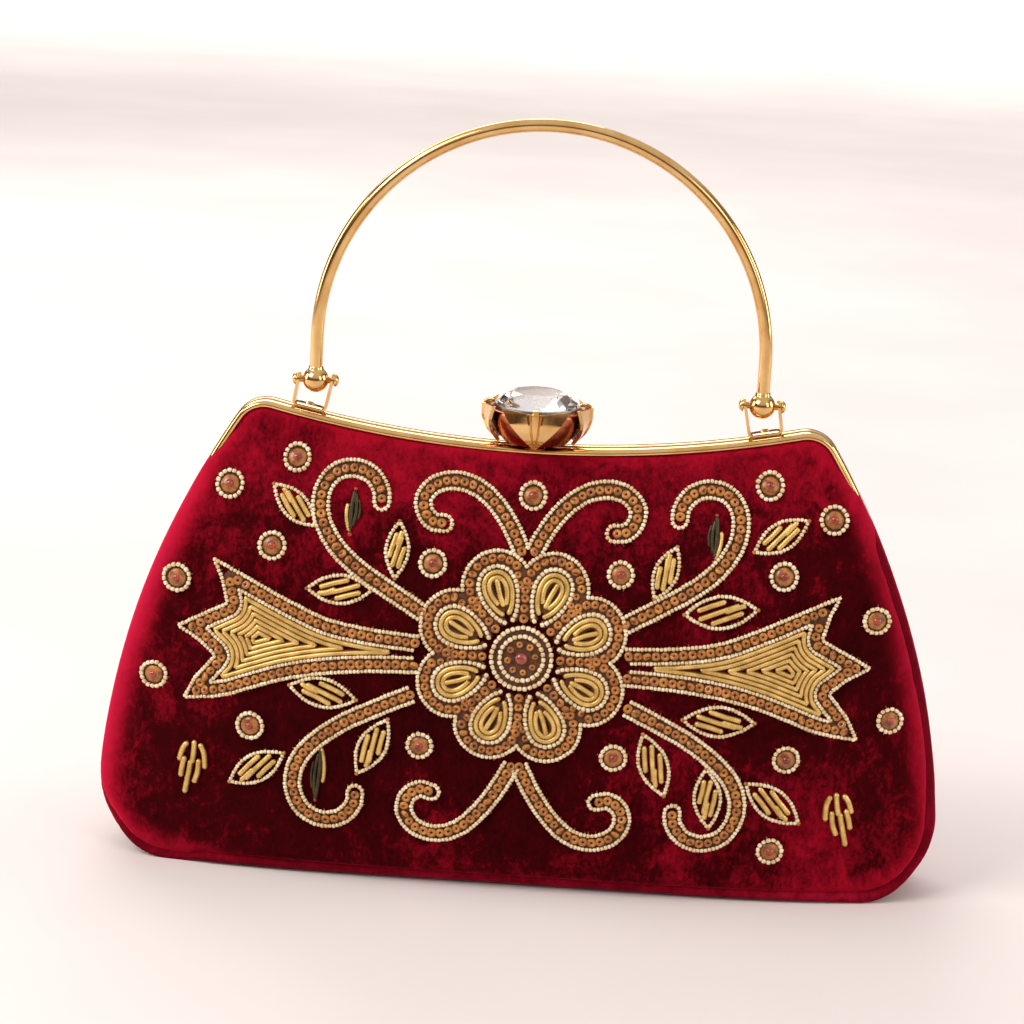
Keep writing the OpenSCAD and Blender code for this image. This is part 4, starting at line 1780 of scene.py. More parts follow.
@dataclass
class Flower(Motif):
    """The eight-petalled flower in the middle of the front."""

    name: ClassVar[str] = "flower"
    node: ClassVar[str] = "flower_beadwork"
    seed: ClassVar[int] = 11
    centre: tuple[float, float] = (0.0, 71.6)
    petals: int = 8
    lobe_at: float = 21.2
    lobe_r: float = 10.1
    rings: tuple[float, float] = (8.7, 6.3)

    def _polar(self, r: float, angle: float) -> np.ndarray:
        """A flat place by its distance from the centre and its angle in degrees."""
        a = math.radians(angle)
        return np.array(self.centre) + r * np.array([math.cos(a), math.sin(a)])

    def _lobe(self, angle: float, radius: float) -> np.ndarray:
        """The part of a petal's outer circle that its neighbours leave.

        Args:
            angle: direction of the petal.
            radius: radius of the circle.

        Returns:
            Points along it.
        """
        half = 180 / self.petals
        middle = self._polar(self.lobe_at, angle)
        line = []
        for b in np.linspace(-150, 150, 121):
            a = math.radians(angle + b)
            p = middle + radius * np.array([math.cos(a), math.sin(a)])
            rel = p - np.array(self.centre)
            off = (math.degrees(math.atan2(rel[1], rel[0])) - angle + 180) % 360 - 180
            if abs(off) <= half and np.linalg.norm(rel) > self.lobe_at * 0.9:
                line.append(p)
        return np.array(line)

    def _drop(self, angle: float, shrink: float) -> np.ndarray:
        """The teardrop inside a petal.

        Args:
            angle: direction of the petal.
            shrink: how far the line lies inside the widest teardrop.

        Returns:
            A line that starts and ends near the flower's centre.
        """
        wide = 5.55 - shrink
        line = []
        for t in np.linspace(-1, 1, 61):
            a = t * math.pi
            long = 0.5 * (1 + math.cos(a))
            r = lerp(10.6 + shrink * 1.6, 27.0 - shrink, long ** 0.92)
            w = wide * math.sin(a) * (0.62 + 0.38 * long) * 1.18
            d, c = self._polar(1.0, angle) - self.centre, self._polar(1.0, angle + 90) - self.centre
            line.append(np.array(self.centre) + d * r + c * w)
        return np.array(line)

    def sew(self, sewing: Sewing) -> None:
        """Sews the flower.

        Args:
            sewing: what it is sewn with.
        """
        turn = 360 / self.petals
        for k in range(self.petals):
            angle = turn * (k + 0.5)
            sewing.cream_row(self._lobe(angle, self.lobe_r), 1.22, 1.25)
            sewing.felt(self._lobe(angle, self.lobe_r - 2.0), 4.4)
            sewing.amber_row(self._lobe(angle, self.lobe_r - 2.0), 2.5, 2.75)
            drop = self._drop(angle, 0.0)[3:-3]
            sewing.felt(drop, 2.4)
            sewing.cream_row(drop, 1.4, 1.32)
            sewing.felt(self._drop(angle, 2.4), 4.2)
            sewing.coil(self._drop(angle, 1.55)[1:-2], 0.80)
            sewing.coil(self._drop(angle, 3.05)[3:-6], 0.82)
            tongue = [self._polar(r, angle + 1.2 * math.sin(r)) for r in (15.5, 19.0, 23.4)]
            sewing.coil(np.array(tongue), 0.84, lift=1.0)
            between = np.array([self._polar(11.3, angle + turn / 2),
                                self._polar(22.6, angle + turn / 2)])
            sewing.felt(between, 4.6)
            sewing.amber_row(between, 2.55, 2.75)
            for off in (-6.0, 6.0):
                pair = np.array([self._polar(20.6, angle + turn / 2 + off * 0.75),
                                 self._polar(23.4, angle + turn / 2 + off)])
                sewing.amber_row(pair, 2.7, 2.3)
        circle = np.linspace(0, 360, 73)[:-1]
        for r in self.rings:
            ring = np.array([self._polar(r, a) for a in circle])
            sewing.cream_row(ring, 1.5, 1.35, closed=True)
        for r in (7.5, 5.0, 2.6):
            sewing.felt(np.array([self._polar(r, a) for a in circle]), 3.2, closed=True)
        for k in range(8):
            spot = np.array([self._polar(4.0, 45 * k + 10), self._polar(4.2, 45 * k + 12)])
            points, t, a, n = sewing.frames(spot, False)
            sewing.amber_bead(points[0], t[0], a[0], n[0], 2.1)
        sewing.stone(self.centre, 1.9, "heart", 1.0)


@dataclass
class Scrolls(Motif):
    """The eight curling stems, drawn for one side and mirrored."""

    name: ClassVar[str] = "scroll"
    node: ClassVar[str] = "scroll_beadwork"
    seed: ClassVar[int] = 23
    width: float = 2.2
    lines: tuple = (
        ((29.6, 82.8), (39.6, 88.4), (47.8, 93.2), (54.7, 98.7), (59.3, 105.0), (60.9, 110.4),
         (60.2, 115.8), (56.8, 119.9), (51.6, 121.1), (46.8, 119.6), (43.8, 116.0),
         (43.2, 112.5)),
        ((1.8, 101.4), (4.8, 107.0), (9.4, 113.1), (15.1, 117.5), (21.4, 119.3), (27.4, 118.3),
         (31.0, 114.6), (30.4, 110.5), (27.9, 108.1), (24.6, 107.7)),
        ((31.6, 58.9), (40.5, 54.7), (49.6, 49.9), (57.0, 44.4), (62.5, 38.4), (65.0, 32.0),
         (64.4, 25.9), (61.0, 20.9), (55.3, 18.9), (50.0, 20.5), (46.8, 24.6), (46.4, 28.2)),
        ((1.2, 39.6), (4.9, 32.6), (9.7, 25.6), (15.7, 19.7), (22.3, 17.5), (28.4, 19.1),
         (31.7, 23.5), (31.1, 28.2), (27.7, 30.8), (24.0, 30.2)))

    def sew(self, sewing: Sewing) -> None:
        """Sews the stems.

        Args:
            sewing: what it is sewn with.
        """
        for line in self.lines:
            for flat in (np.asarray(line), mirrored(line)):
                self._stem(sewing, smooth_line(flat, 12))

    def _stem(self, sewing: Sewing, middle: np.ndarray) -> None:
        """Sews one stem with its two cream rows and a round end.

        Args:
            sewing: what it is sewn with.
            middle: the flat line of its middle.
        """
        d = unit(middle[-1] - middle[-3])
        side = np.array([-d[1], d[0]])
        cap = [middle[-1] + self.width * (side * math.cos(a) + d * math.sin(a))
               for a in np.linspace(0.15, math.pi - 0.15, 9)]
        round_the_end = np.concatenate([
            beside(middle, self.width), np.array(cap), beside(middle, -self.width)[::-1]])
        sewing.felt(middle, 4.9)
        sewing.cream_row(round_the_end, 1.14, 1.25)
        sewing.amber_row(middle[:-3], 2.6, 2.85)


@dataclass
class Fans(Motif):
    """The two flared tails beside the flower."""

    name: ClassVar[str] = "fan"
    node: ClassVar[str] = "fan_beadwork"
    seed: ClassVar[int] = 37
    neck: float = 30.0
    top: tuple = ((20.0, 76.2), (33.0, 76.7), (45.0, 77.6), (57.2, 79.6), (69.0, 84.3), (80.8, 89.9),
                  (92.0, 95.2))
    tips: tuple = ((92.0, 95.2), (88.6, 88.0), (86.9, 81.7), (94.5, 77.6), (102.0, 73.3),
                   (94.8, 69.4), (90.1, 65.4), (95.6, 58.6), (99.6, 50.7))
    foot: tuple = ((99.6, 50.7), (86.8, 53.0), (77.0, 56.8), (67.2, 60.3), (55.4, 62.9),
                   (44.0, 64.3), (33.0, 64.9),
                   (20.0, 65.2))

    def sew(self, sewing: Sewing) -> None:
        """Sews both tails.

        Args:
            sewing: what it is sewn with.
        """
        edge = np.concatenate([smooth_line(self.top, 8)[:-1], np.array(self.tips)[:-1],
                               smooth_line(self.foot, 8)])
        for flat in (edge, mirrored(edge)):
            self._tail(sewing, flat)

    def _tail(self, sewing: Sewing, edge: np.ndarray) -> None:
        """Sews one tail in rows that follow its edge.

        Args:
            sewing: what it is sewn with.
            edge: its flat outline.
        """
        at = DistanceMap(edge)
        sign = 1 if edge[:, 0].mean() > 0 else -1

        def open_rows(inset: float, neck: float, least: float = 6.0) -> list[np.ndarray]:
            """Rows at one inset, left open where the tail runs under the flower.

            Args:
                inset: distance inside the outline.
                neck: how far from the middle the rows start.
                least: shorter rows are left out.

            Returns:
                The rows.
            """
            rows = []
            for loop in at.lines(inset, least):
                shut = sign * loop[:, 0] < neck
                if shut.any() and not shut.all():
                    loop = np.roll(loop, -int(np.flatnonzero(shut)[0]), 0)
                    shut = sign * loop[:, 0] < neck
                    loop = loop[~shut]
                    gap = np.linalg.norm(np.diff(loop, axis=0), axis=1)
                    if len(gap) and gap.max() > 2.0:
                        loop = np.roll(loop, -int(gap.argmax()) - 1, 0)
                rows.append(loop)
            return rows

        for row in open_rows(0.6, self.neck):
            sewing.cream_row(row, 1.12, 1.2)
        for row in open_rows(2.6, self.neck + 0.8):
            sewing.felt(row, 4.6)
            sewing.amber_row(row, 2.62, 2.85)
        for row in open_rows(4.7, self.neck + 1.6):
            sewing.cream_row(row, 1.12, 1.15)
        for inset in np.arange(6.0, 20.0, 1.4):
            for row in open_rows(float(inset), self.neck + 6.0, 4.0):
                row = np.concatenate([row, row[:1]])
                sewing.coil(row, 0.74, lift=0.9)
                sewing.felt(row, 2.0)


@dataclass
class Leaves(Motif):
    """Thirteen leaves of slanted bullion inside two cream rows, and three with olive coils."""

    name: ClassVar[str] = "leaf"
    node: ClassVar[str] = "leaf_bullion"
    seed: ClassVar[int] = 41
    places: tuple = (
        ((-62.2, 105), (-74.7, 115.3)), ((-44.5, 88), (-63.1, 87.3)), ((-38, 92), (-37.6, 107.3)),
        ((65.4, 105.1), (80.2, 114.1)), ((46.4, 86.7), (67, 89)), ((37.4, 90.7), (42.9, 104.9)),
        ((-47.5, 56.2), (-66.8, 58.7)), ((-37.9, 50.9), (-46, 34.3)),
        ((-68.2, 37.8), (-83.8, 27.4)), ((47.8, 56.4), (68.1, 56.1)),
        ((36.5, 51.3), (43.5, 33.4)), ((67.4, 37.5), (83.3, 25.9)), ((55.4, 41.6), (57.2, 24.0)))
    dark: tuple = (((-51.9, 103.7), (-51.1, 115.3)), ((53.8, 102.2), (53.9, 114)),
                   ((-56.9, 41.1), (-58.2, 24.8)))
    share: float = 0.43

    def sew(self, sewing: Sewing) -> None:
        """Sews the leaves.

        Args:
            sewing: what it is sewn with.
        """
        for a, b in self.places:
            self._leaf(sewing, np.array(a), np.array(b))
        for a, b in self.dark:
            self._dark_leaf(sewing, np.array(a), np.array(b))

    def _leaf(self, sewing: Sewing, a: np.ndarray, b: np.ndarray) -> None:
        """Sews one outlined leaf.

        Args:
            sewing: what it is sewn with.
            a: its base.
            b: its tip.
        """
        along = b - a
        long = float(np.linalg.norm(along))
        along = along / long
        across = np.array([-along[1], along[0]])
        half = long * self.share / 2
        t = np.linspace(0.03, 0.97, 24)[:, None]
        for side in (-1, 1):
            bow = side * half * np.sin(np.pi * t) ** 0.85
            sewing.cream_row(a + along * t * long + across * bow, 1.12, 1.15)
        slant = 0.26 if (a[0] > 0) == (b[1] > a[1]) else -0.26
        lean = unit(along + across * slant)
        for shift, side, share in ((-0.13, 0.42, 0.42), (-0.03, 0.0, 0.60), (0.08, -0.40, 0.48),
                                   (0.20, 0.16, 0.30)):
            side = side if slant > 0 else -side
            middle = a + along * (0.5 + shift) * long + across * side * half
            reach = lean * long * share / 2
            bowed = middle + across * sewing.random.uniform(-0.25, 0.25)
            sewing.coil(np.array([middle - reach, bowed, middle + reach]), 0.86)
        for end, step in ((a, -0.3), (b, 0.3)):
            points, t3, a3, n3 = sewing.frames(np.array([end + along * step, end]), False)
            matrix = np.stack([t3[0] * 1.1, a3[0] * 0.6, n3[0] * 0.6], -1)
            sewing.add("amber_beads", barrel().moved(matrix, points[0] + n3[0] * 0.6))

    def _dark_leaf(self, sewing: Sewing, a: np.ndarray, b: np.ndarray) -> None:
        """Sews one narrow leaf of gold and olive coils.

        Args:
            sewing: what it is sewn with.
            a: its base.
            b: its tip.
        """
        along = b - a
        long = float(np.linalg.norm(along))
        along = along / long
        across = np.array([-along[1], along[0]])
        inner = -1.0 if a[0] < 0 else 1.0
        for side, start, end, kind, radius in ((-1.5, 0.02, 0.66, "bullion", 0.66),
                                               (-0.35, 0.04, 0.98, "olive", 0.72),
                                               (0.85, 0.14, 0.92, "olive", 0.62),
                                               (1.75, 0.30, 0.80, "olive", 0.42)):
            t = np.linspace(start, end, 9)[:, None]
            bow = across * inner * side * (1 - (2 * t - 1) ** 2) * 1.15
            sewing.coil(a + along * t * long + bow, radius, kind=kind)
        sewing.stone(a - along * 0.6, 0.7)
        sewing.stone(b + along * 0.3, 0.6)


@dataclass
class Dots(Motif):
    """Cut stones in rings of cream beads."""

    name: ClassVar[str] = "dot"
    node: ClassVar[str] = "dot_beadwork"
    seed: ClassVar[int] = 53
    ring: float = 3.6
    stone: float = 2.8
    places: tuple = ((68.8, 123), (87.8, 114.8), (74.2, 98.7), (101.6, 87.6), (108, 57.4),
                     (78.4, 45.2), (27.2, 96.6), (28.2, 44))
    single: tuple = ((0.5, 116.5), (75.7, 17))

    def sew(self, sewing: Sewing) -> None:
        """Sews the dots.

        Args:
            sewing: what it is sewn with.
        """
        spots = [*self.places, *((-x, z) for x, z in self.places), *self.single]
        for x, z in spots:
            r = self.ring * sewing.random.uniform(0.96, 1.05)
            a = np.linspace(0, 2 * math.pi, 40)[:-1] + sewing.random.uniform(0, 1)
            ring = np.stack([x + r * np.cos(a), z + r * np.sin(a)], -1)
            sewing.felt(np.stack([x + 2.2 * np.cos(a), z + 2.2 * np.sin(a)], -1), 3.2, True)
            sewing.cream_row(ring, 1.42, 1.3, closed=True)
            sewing.stone((x, z), self.stone, "setting", 0.5)
            sewing.stone((x, z), self.stone * 0.5, height=1.5)


@dataclass
class Sprigs(Motif):
    """Two ears of short bullion lengths near the lower corners."""

    name: ClassVar[str] = "sprig"
    node: ClassVar[str] = "sprig_bullion"
    seed: ClassVar[int] = 61
    places: tuple = ((-95.2, 38.6, -95.0, 21.0), (94.3, 35.2, 95.4, 17.2))
    stalks: tuple = (((0.3, 0.0), (0.1, 3.4), (-0.4, 6.9)), ((-1.8, 0.7), (-3.3, 3.0), (-4.3, 6.6)),
                     ((1.9, 0.8), (3.2, 3.8), (3.5, 8.4)), ((-2.6, 5.2), (-3.4, 8.4), (-3.9, 11.6)),
                     ((-0.8, 6.2), (-1.3, 9.4), (-2.0, 12.7)), ((1.6, 5.6), (1.3, 9.6), (0.2, 13.1)),
                     ((-1.6, 11.6), (-2.1, 13.8), (-2.6, 16.6)))

    def sew(self, sewing: Sewing) -> None:
        """Sews the sprigs.

        Args:
            sewing: what it is sewn with.
        """
        for x0, z0, x1, z1 in self.places:
            top, foot = np.array([x0, z0]), np.array([x1, z1])
            d = unit(foot - top)
            side = np.array([-d[1], d[0]]) * (1 if x0 < 0 else -1)
            for stalk in self.stalks:
                line = np.array([top + side * x + d * z for x, z in stalk])
                sewing.coil(smooth_line(line, 6), 0.9)


# ---------------------------------------------------------------- handle and clasp


@dataclass
class Handle:
    """The arched wire with its balls, and the clevises and pins that carry it."""

    pivot_x: float = 65.2
    pivot_z: float = 145.0
    leg: float = 12.3
    wire_r: float = 1.9
    ball_r: float = 3.8
    foot_x: float = 66.9
    foot_z: float = 136.3
    slope: float = 11.1
    lug: float = 4.75
    strip: float = 0.9

    def wire(self) -> Solid:
        """Bends the wire into an arch with straight legs.

        Returns:
            The wire.
        """
        top = self.pivot_z + self.leg
        start = self.pivot_z + self.ball_r - 0.6
        legs = np.linspace(start, top, 8)
        angles = np.linspace(0, math.pi, 97)[1:-1]
        path = [(self.pivot_x, 0, z) for z in legs]
        path += [(self.pivot_x * math.cos(a), 0, top + self.pivot_x * math.sin(a)) for a in angles]
        path += [(-self.pivot_x, 0, z) for z in legs[::-1]]
        return tube(np.array(path), self.wire_r, 28)

    def ball(self, sign: int) -> Solid:
        """Turns the ball at one end of the wire, with its collar.

        Args:
            sign: 1 on the right, -1 on the left.

        Returns:
            The ball.
        """
        r = self.ball_r
        profile = [(0.02, -r)]
        for a in np.linspace(-84, 52, 24):
            profile.append((r * math.cos(math.radians(a)), r * math.sin(math.radians(a))))
        profile += [(2.25, r * 0.84), (2.12, r + 0.05), (2.0, r + 0.25), (1.88, r + 0.35)]
        return lathe(profile, 40).moved(np.eye(3), (sign * self.pivot_x, 0, self.pivot_z))

    def clevis(self, sign: int) -> Solid:
        """Bends the strip that carries one end of the handle.

        Args:
            sign: 1 on the right, -1 on the left.

        Returns:
            The strip, without its rounded edges.
        """
        tilt = math.radians(self.slope)
        rise = math.tan(tilt) * self.lug
        half = self.lug
        bend = 1.3
        tops = {-1: 8.9 + rise, 1: 8.9 - rise}
        line: list[tuple[float, float, float, float]] = []

        def ear(side: int) -> list[tuple[float, float, float, float]]:
            """One ear of the strip, from its top down to the foot.

            Args:
                side: 1 for the outer ear, -1 for the inner one.

            Returns:
                Place across, height, half width and shift to the back at each step.
            """
            lug_z, rows = tops[side], []
            for a in np.linspace(88, 0, 9):
                z = lug_z + 2.15 * math.sin(math.radians(a))
                rows.append((side * (half + 0.12), z, 2.15 * math.cos(math.radians(a)), 0.0))
            for t in np.linspace(0.12, 1, 7):
                z = lerp(lug_z, bend + 0.5, t)
                rows.append((side * (half + 0.12 * (1 - t)), z, lerp(2.15, 1.75, t), 0.0))
            for a in np.linspace(15, 90, 6):
                x = half - bend * (1 - math.cos(math.radians(a)))
                z = 0.5 + bend * (1 - math.sin(math.radians(a)))
                rows.append((side * x, z, lerp(1.75, 2.3, a / 90), lerp(0, 0.5, a / 90)))
            return rows

        line += ear(-1)
        line += [(x, 0.5, 2.5, 0.7) for x in np.linspace(-half + bend + 0.5, half - bend - 0.5, 7)]
        line += ear(1)[::-1]
        path = np.array([(p[0], p[1]) for p in line])
        t = unit(np.gradient(path, axis=0))
        out = np.stack([t[:, 1], -t[:, 0]], -1) * self.strip / 2
        loops = []
        for (x, z, wide, back), o in zip(line, out):
            loops.append([(x + o[0], back - wide, z + o[1]), (x + o[0], back + wide, z + o[1]),
                          (x - o[0], back + wide, z - o[1]), (x - o[0], back - wide, z - o[1])])
        c, s = math.cos(tilt), math.sin(tilt)
        turn = np.array([[c, 0, -s], [0, 1, 0], [s, 0, c]])
        strip = Solid(np.array(loops).reshape(-1, 3), tube_faces(len(loops), 4))
        solid = strip.moved(turn, (self.foot_x, 0, self.foot_z))
        return solid if sign > 0 else solid.moved(np.diag([-1, 1, 1]))

    def pin(self, sign: int) -> Solid:
        """Turns one pivot pin with its two round heads.

        Args:
            sign: 1 on the right, -1 on the left.

        Returns:
            The pin.
        """
        half = [(0.02, 6.85), (0.7, 6.8), (1.3, 6.55), (1.75, 6.15), (1.9, 5.75), (1.75, 5.45),
                (1.25, 5.38), (1.0, 5.3)]
        profile = half + [(1.0, 0.0)] + [(r, -z) for r, z in reversed(half)]
        turn = np.array([[0, 0, 1], [0, 1, 0], [-1, 0, 0]])
        return lathe(profile, 28).moved(turn, (sign * self.pivot_x, 0, self.pivot_z))

    def dress(self) -> None:
        """Makes the handle's pieces and the fittings it swings in."""
        dress(self.wire().object("handle_wire"), GILT, Body.HANDLE, ["handle_arch"])
        for name, sign in (("right", 1), ("left", -1)):
            dress(self.ball(sign).object(f"{name}_handle_ball"), GILT, Body.HANDLE,
                  ["handle_balls"])
            clevis = with_bevel(self.clevis(sign).object(f"{name}_clevis_strip"), 0.22, 2, 50)
            dress(clevis, GILT, Body.BACK, [f"{name}_clevis"])
            dress(self.pin(sign).object(f"{name}_handle_pin"), GILT, Body.BACK,
                  ["handle_pivot_pins"])


@dataclass
class Clasp:
    """The lotus cup of four folded petals with its round crystal."""

    rim_z: float = 142.3
    low_z: float = 130.55
    spread: float = 38.4
    skin: float = 1.0
    gem_r: float = 11.85
    girdle_z: float = 141.75
    table_z: float = 145.5
    table_r: float = 7.4
    culet_z: float = 136.1
    profile: tuple = ((130.3, 11.3), (131.6, 12.6), (133.7, 14.3), (135.8, 15.45), (138.0, 16.1),
                      (141.0, 16.1), (144.0, 16.1))

    def radius(self, z: np.ndarray | float) -> np.ndarray:
        """The cup's radius at a height."""
        zs, rs = zip(*self.profile)
        return np.interp(z, zs, rs)

    def petal(self, turn: float, foot: float) -> Solid:
        """Folds one petal: two flat wings from a raised middle claw.

        Args:
            turn: direction of the petal, in degrees.
            foot: its half width at the bottom, in degrees.

        Returns:
            The petal's outer face; its thickness is added later.
        """
        columns = np.array([-1, -.62, -.27, -.19, -.11, 0, .11, .19, .27, .62, 1])
        ribs = np.array([0, 0, 0, -0.35, 0.42, 0.3, 0.42, -0.35, 0, 0, 0])
        rows = 22
        grid = np.zeros((rows, len(columns), 3))
        for i, t in enumerate(np.linspace(0, 1, rows)):
            z = lerp(self.low_z, self.rim_z, t)
            r = float(self.radius(z))
            wide = math.radians(lerp(foot, self.spread, t ** 0.85))
            x = columns * r * math.sin(wide)
            depth = lerp(r, r * math.cos(wide), np.abs(columns))
            depth = depth + ribs * float(smoothstep(0.0, 0.3, t))
            drop = 0.9 * (1 - np.abs(columns)) * float(smoothstep(0.9, 1.0, t))
            grid[i] = np.stack([x, -depth, z - drop], -1)
        return Solid(grid.reshape(-1, 3), grid_faces(rows, len(columns))).moved(about_z(turn))

    def prong(self, turn: float) -> Solid:
        """Bends the prong at the top of one petal, which holds the crystal.

        Args:
            turn: direction of the petal, in degrees.

        Returns:
            The prong.
        """
        line = [(15.6, 140.2, 0.9), (15.6, 141.0, 0.95), (15.4, 141.6, 0.95), (14.8, 141.98, 0.9),
                (14.0, 142.15, 0.85), (13.1, 142.15, 0.75), (12.35, 142.0, 0.6)]
        path = np.array(line)
        d = unit(np.gradient(path[:, :2], axis=0))
        out = np.stack([d[:, 1], -d[:, 0]], -1) * 0.45
        grid = np.array([[(-w, -(r + o[0]), z + o[1]), (w, -(r + o[0]), z + o[1]),
                          (w, -(r - o[0]), z - o[1]), (-w, -(r - o[0]), z - o[1])]
                         for (r, z, w), o in zip(line, out)])
        return Solid(grid.reshape(-1, 3), tube_faces(len(line), 4)).moved(about_z(turn))

    def bowl(self) -> Solid:
        """Turns the deep bowl behind the petals.

        Returns:
            The bowl.
        """
        outer = [(float(self.radius(z)) - 2.4, z) for z in np.linspace(130.6, 139.4, 14)]
        lip = [(13.6, 140.1), (13.4, 140.5), (13.1, 140.4)]
        inner = [(12.6, 138.9), (10.6, 136.6), (7.8, 135.7), (0.02, 135.6)]
        under = [(0.02, 134.2), (6.8, 134.2), (6.3, 130.6)]
        return lathe(under + outer + lip + inner, 64)

    def crystal(self) -> bpy.types.Object:
        """Cuts the crystal: table, eight kites and a pointed back.

        Returns:
            The crystal.
        """
        spots = []

        def ring(r: float, z: float, count: int, turn: float) -> None:
            """Adds a ring of corners.

            Args:
                r: its radius.
                z: its height.
                count: number of corners.
                turn: how far it is turned, in corners.
            """
            for i in range(count):
                a = 2 * math.pi * (i + turn) / count
                spots.append((r * math.cos(a), r * math.sin(a), z))

        ring(self.table_r, self.table_z, 8, 0.25)
        ring(10.0, self.girdle_z + 2.15, 8, 0.75)
        ring(self.gem_r, self.girdle_z + 0.35, 16, 0.5)
        ring(self.gem_r, self.girdle_z - 0.35, 16, 0.5)
        ring(6.6, self.girdle_z - 3.4, 8, 0.25)
        ring(0.5, self.culet_z, 8, 0.25)
        mesh = bpy.data.meshes.new("cut_crystal")
        bm = bmesh.new()
        for p in spots:
            bm.verts.new(Vector(p) * MM)
        hull = bmesh.ops.convex_hull(bm, input=bm.verts)
        loose = [v for v in hull["geom_interior"] if isinstance(v, bmesh.types.BMVert)]
        bmesh.ops.delete(bm, geom=loose, context="VERTS")
        bmesh.ops.dissolve_limit(bm, angle_limit=math.radians(0.6), verts=bm.verts,
                                 edges=bm.edges)
        bmesh.ops.recalc_face_normals(bm, faces=bm.faces)
        bm.to_mesh(mesh)
        bm.free()
        obj = bpy.data.objects.new("cut_crystal", mesh)
        bpy.context.scene.collection.objects.link(obj)
        return obj

    def foil(self) -> Solid:
        """Turns the bright foil cone that backs the crystal.

        Returns:
            The foil.
        """
        return lathe([(12.25, 141.75), (11.95, 141.15), (6.7, 137.95), (0.6, 135.85),
                      (0.02, 135.8)], 32)

    def dress(self) -> None:
        """Makes the clasp's pieces."""
        for name, turn, foot in (("front", 0, 2), ("right", 90, 17), ("back", 180, 2),
                                 ("left", 270, 17)):
            obj = self.petal(turn, foot).object(f"{name}_petal")
            mesh = obj.data
            middle = Vector((0, 0, 0.137))
            first = mesh.polygons[len(mesh.polygons) // 2]
            if first.normal.dot(first.center - middle) < 0:
                mesh.flip_normals()
            wall = obj.modifiers.new("wall", "SOLIDIFY")
            wall.thickness, wall.offset = self.skin * MM, -1.0
            with_bevel(applied(obj), 0.12, 2, 60)
            obj.data.set_sharp_from_angle(angle=math.radians(14))
            dress(obj, GILT, Body.CLASP, ["clasp_cup"])
            prong = with_bevel(self.prong(turn).object(f"{name}_prong"), 0.2, 2, 50)
            dress(prong, GILT, Body.CLASP, ["clasp_cup"])
        dress(self.bowl().object("lotus_bowl"), SHADED_GILT, Body.CLASP,
              ["clasp_cup", "crystal_seat"])
        dress(self.crystal(), CRYSTAL, Body.CLASP, ["clasp_crystal"])
        dress(self.foil().object("crystal_foil"), FOIL, Body.CLASP)


# ---------------------------------------------------------------- the inside


@dataclass
class Gusset:
    """A pleated satin gusset between the two halves, which opens as a fan."""

    sign: int
    x: float = 98.0
    depth: float = 4.6
    reach: float = 8.0
    low: float = 14.0
    high: float = 98.0

    def build(self) -> Solid:
        """Folds the gusset.

        Returns:
            The pleated sheet.
        """
        across, up = 33, 22
        grid = np.zeros((up, across, 3))
        for i, t in enumerate(np.linspace(0, 1, up)):
            for j, u in enumerate(np.linspace(-1, 1, across)):
                fold = math.cos(u * 4 * math.pi) * self.depth * (0.55 + 0.45 * t)
                sag = -1.2 * t * t * (1 - u * u)
                x = self.x + 0.5 * fold * (1 - 0.6 * abs(u) ** 6)
                grid[i, j] = (self.sign * x, u * self.reach, lerp(self.low, self.high, t) + sag)
        return Solid(grid.reshape(-1, 3), grid_faces(up, across))

    def dress(self) -> bpy.types.Object:
        """Makes the piece, which reaches from one half to the other and rides on no body.

        Returns:
            The gusset.
        """
        name = "right" if self.sign > 0 else "left"
        obj = self.build().object(f"{name}_satin_gusset")
        dress(obj, SATIN, None, [f"{name}_gusset"])
        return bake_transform(obj)


@dataclass
class Pocket:
    """The slip pocket on the back lining, a little slack at its mouth."""

    shell: Shell
    half: float = 62.0
    low: float = 16.0
    high: float = 74.0
    inset: float = 7.5

    def build(self) -> Solid:
        """Makes the pocket's sheet with a hemmed mouth.

        Returns:
            The sheet.
        """
        across, up = 61, 30
        grid = np.zeros((up + 3, across, 3))
        for i in range(up + 3):
            t = min(i / (up - 1), 1.0)
            back = max(i - up + 1, 0)
            for j, u in enumerate(np.linspace(-1, 1, across)):
                x, z = u * self.half, lerp(self.low, self.high, t) - back * 1.4
                slack = (1 - u ** 4) * (0.5 + 1.9 * t ** 3)
                ripple = 0.18 * math.sin(u * 31) * t ** 2 * (1 - u ** 4)
                hem = 0.45 * math.exp(-((z - self.high + 4.5) / 0.5) ** 2)
                y = float(self.shell.depth_at(np.array(x), np.array(z), self.inset)) - slack
                grid[i, j] = (x, y - ripple + hem * 0.3 + 0.35 * min(back, 1), z)
        return Solid(grid.reshape(-1, 3), grid_faces(up + 3, across))

    def dress(self) -> bpy.types.Object:
        """Makes the pocket's piece.

        Returns:
            The pocket.
        """
        obj = dress(self.build().object("slip_pocket"), SATIN, Body.BACK,
                    ["inner_pocket"])
        return obj


def dress_frame() -> None:
    """Gives the CAD pieces that stay their finishes."""
    finishes = {"board": BOARD, "foam": FOAM, "hinge": DULL_GILT, "springs": STEEL}
    for name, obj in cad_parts.items():
        finish = next((f for key, f in finishes.items() if key in name), GILT)
        obj.data.materials.clear()
        obj.data.materials.append(finish.material())
        for face in obj.data.polygons:
            face.material_index = 0
        log.info("%s keeps its shape", name)


# ---------------------------------------------------------------- stage


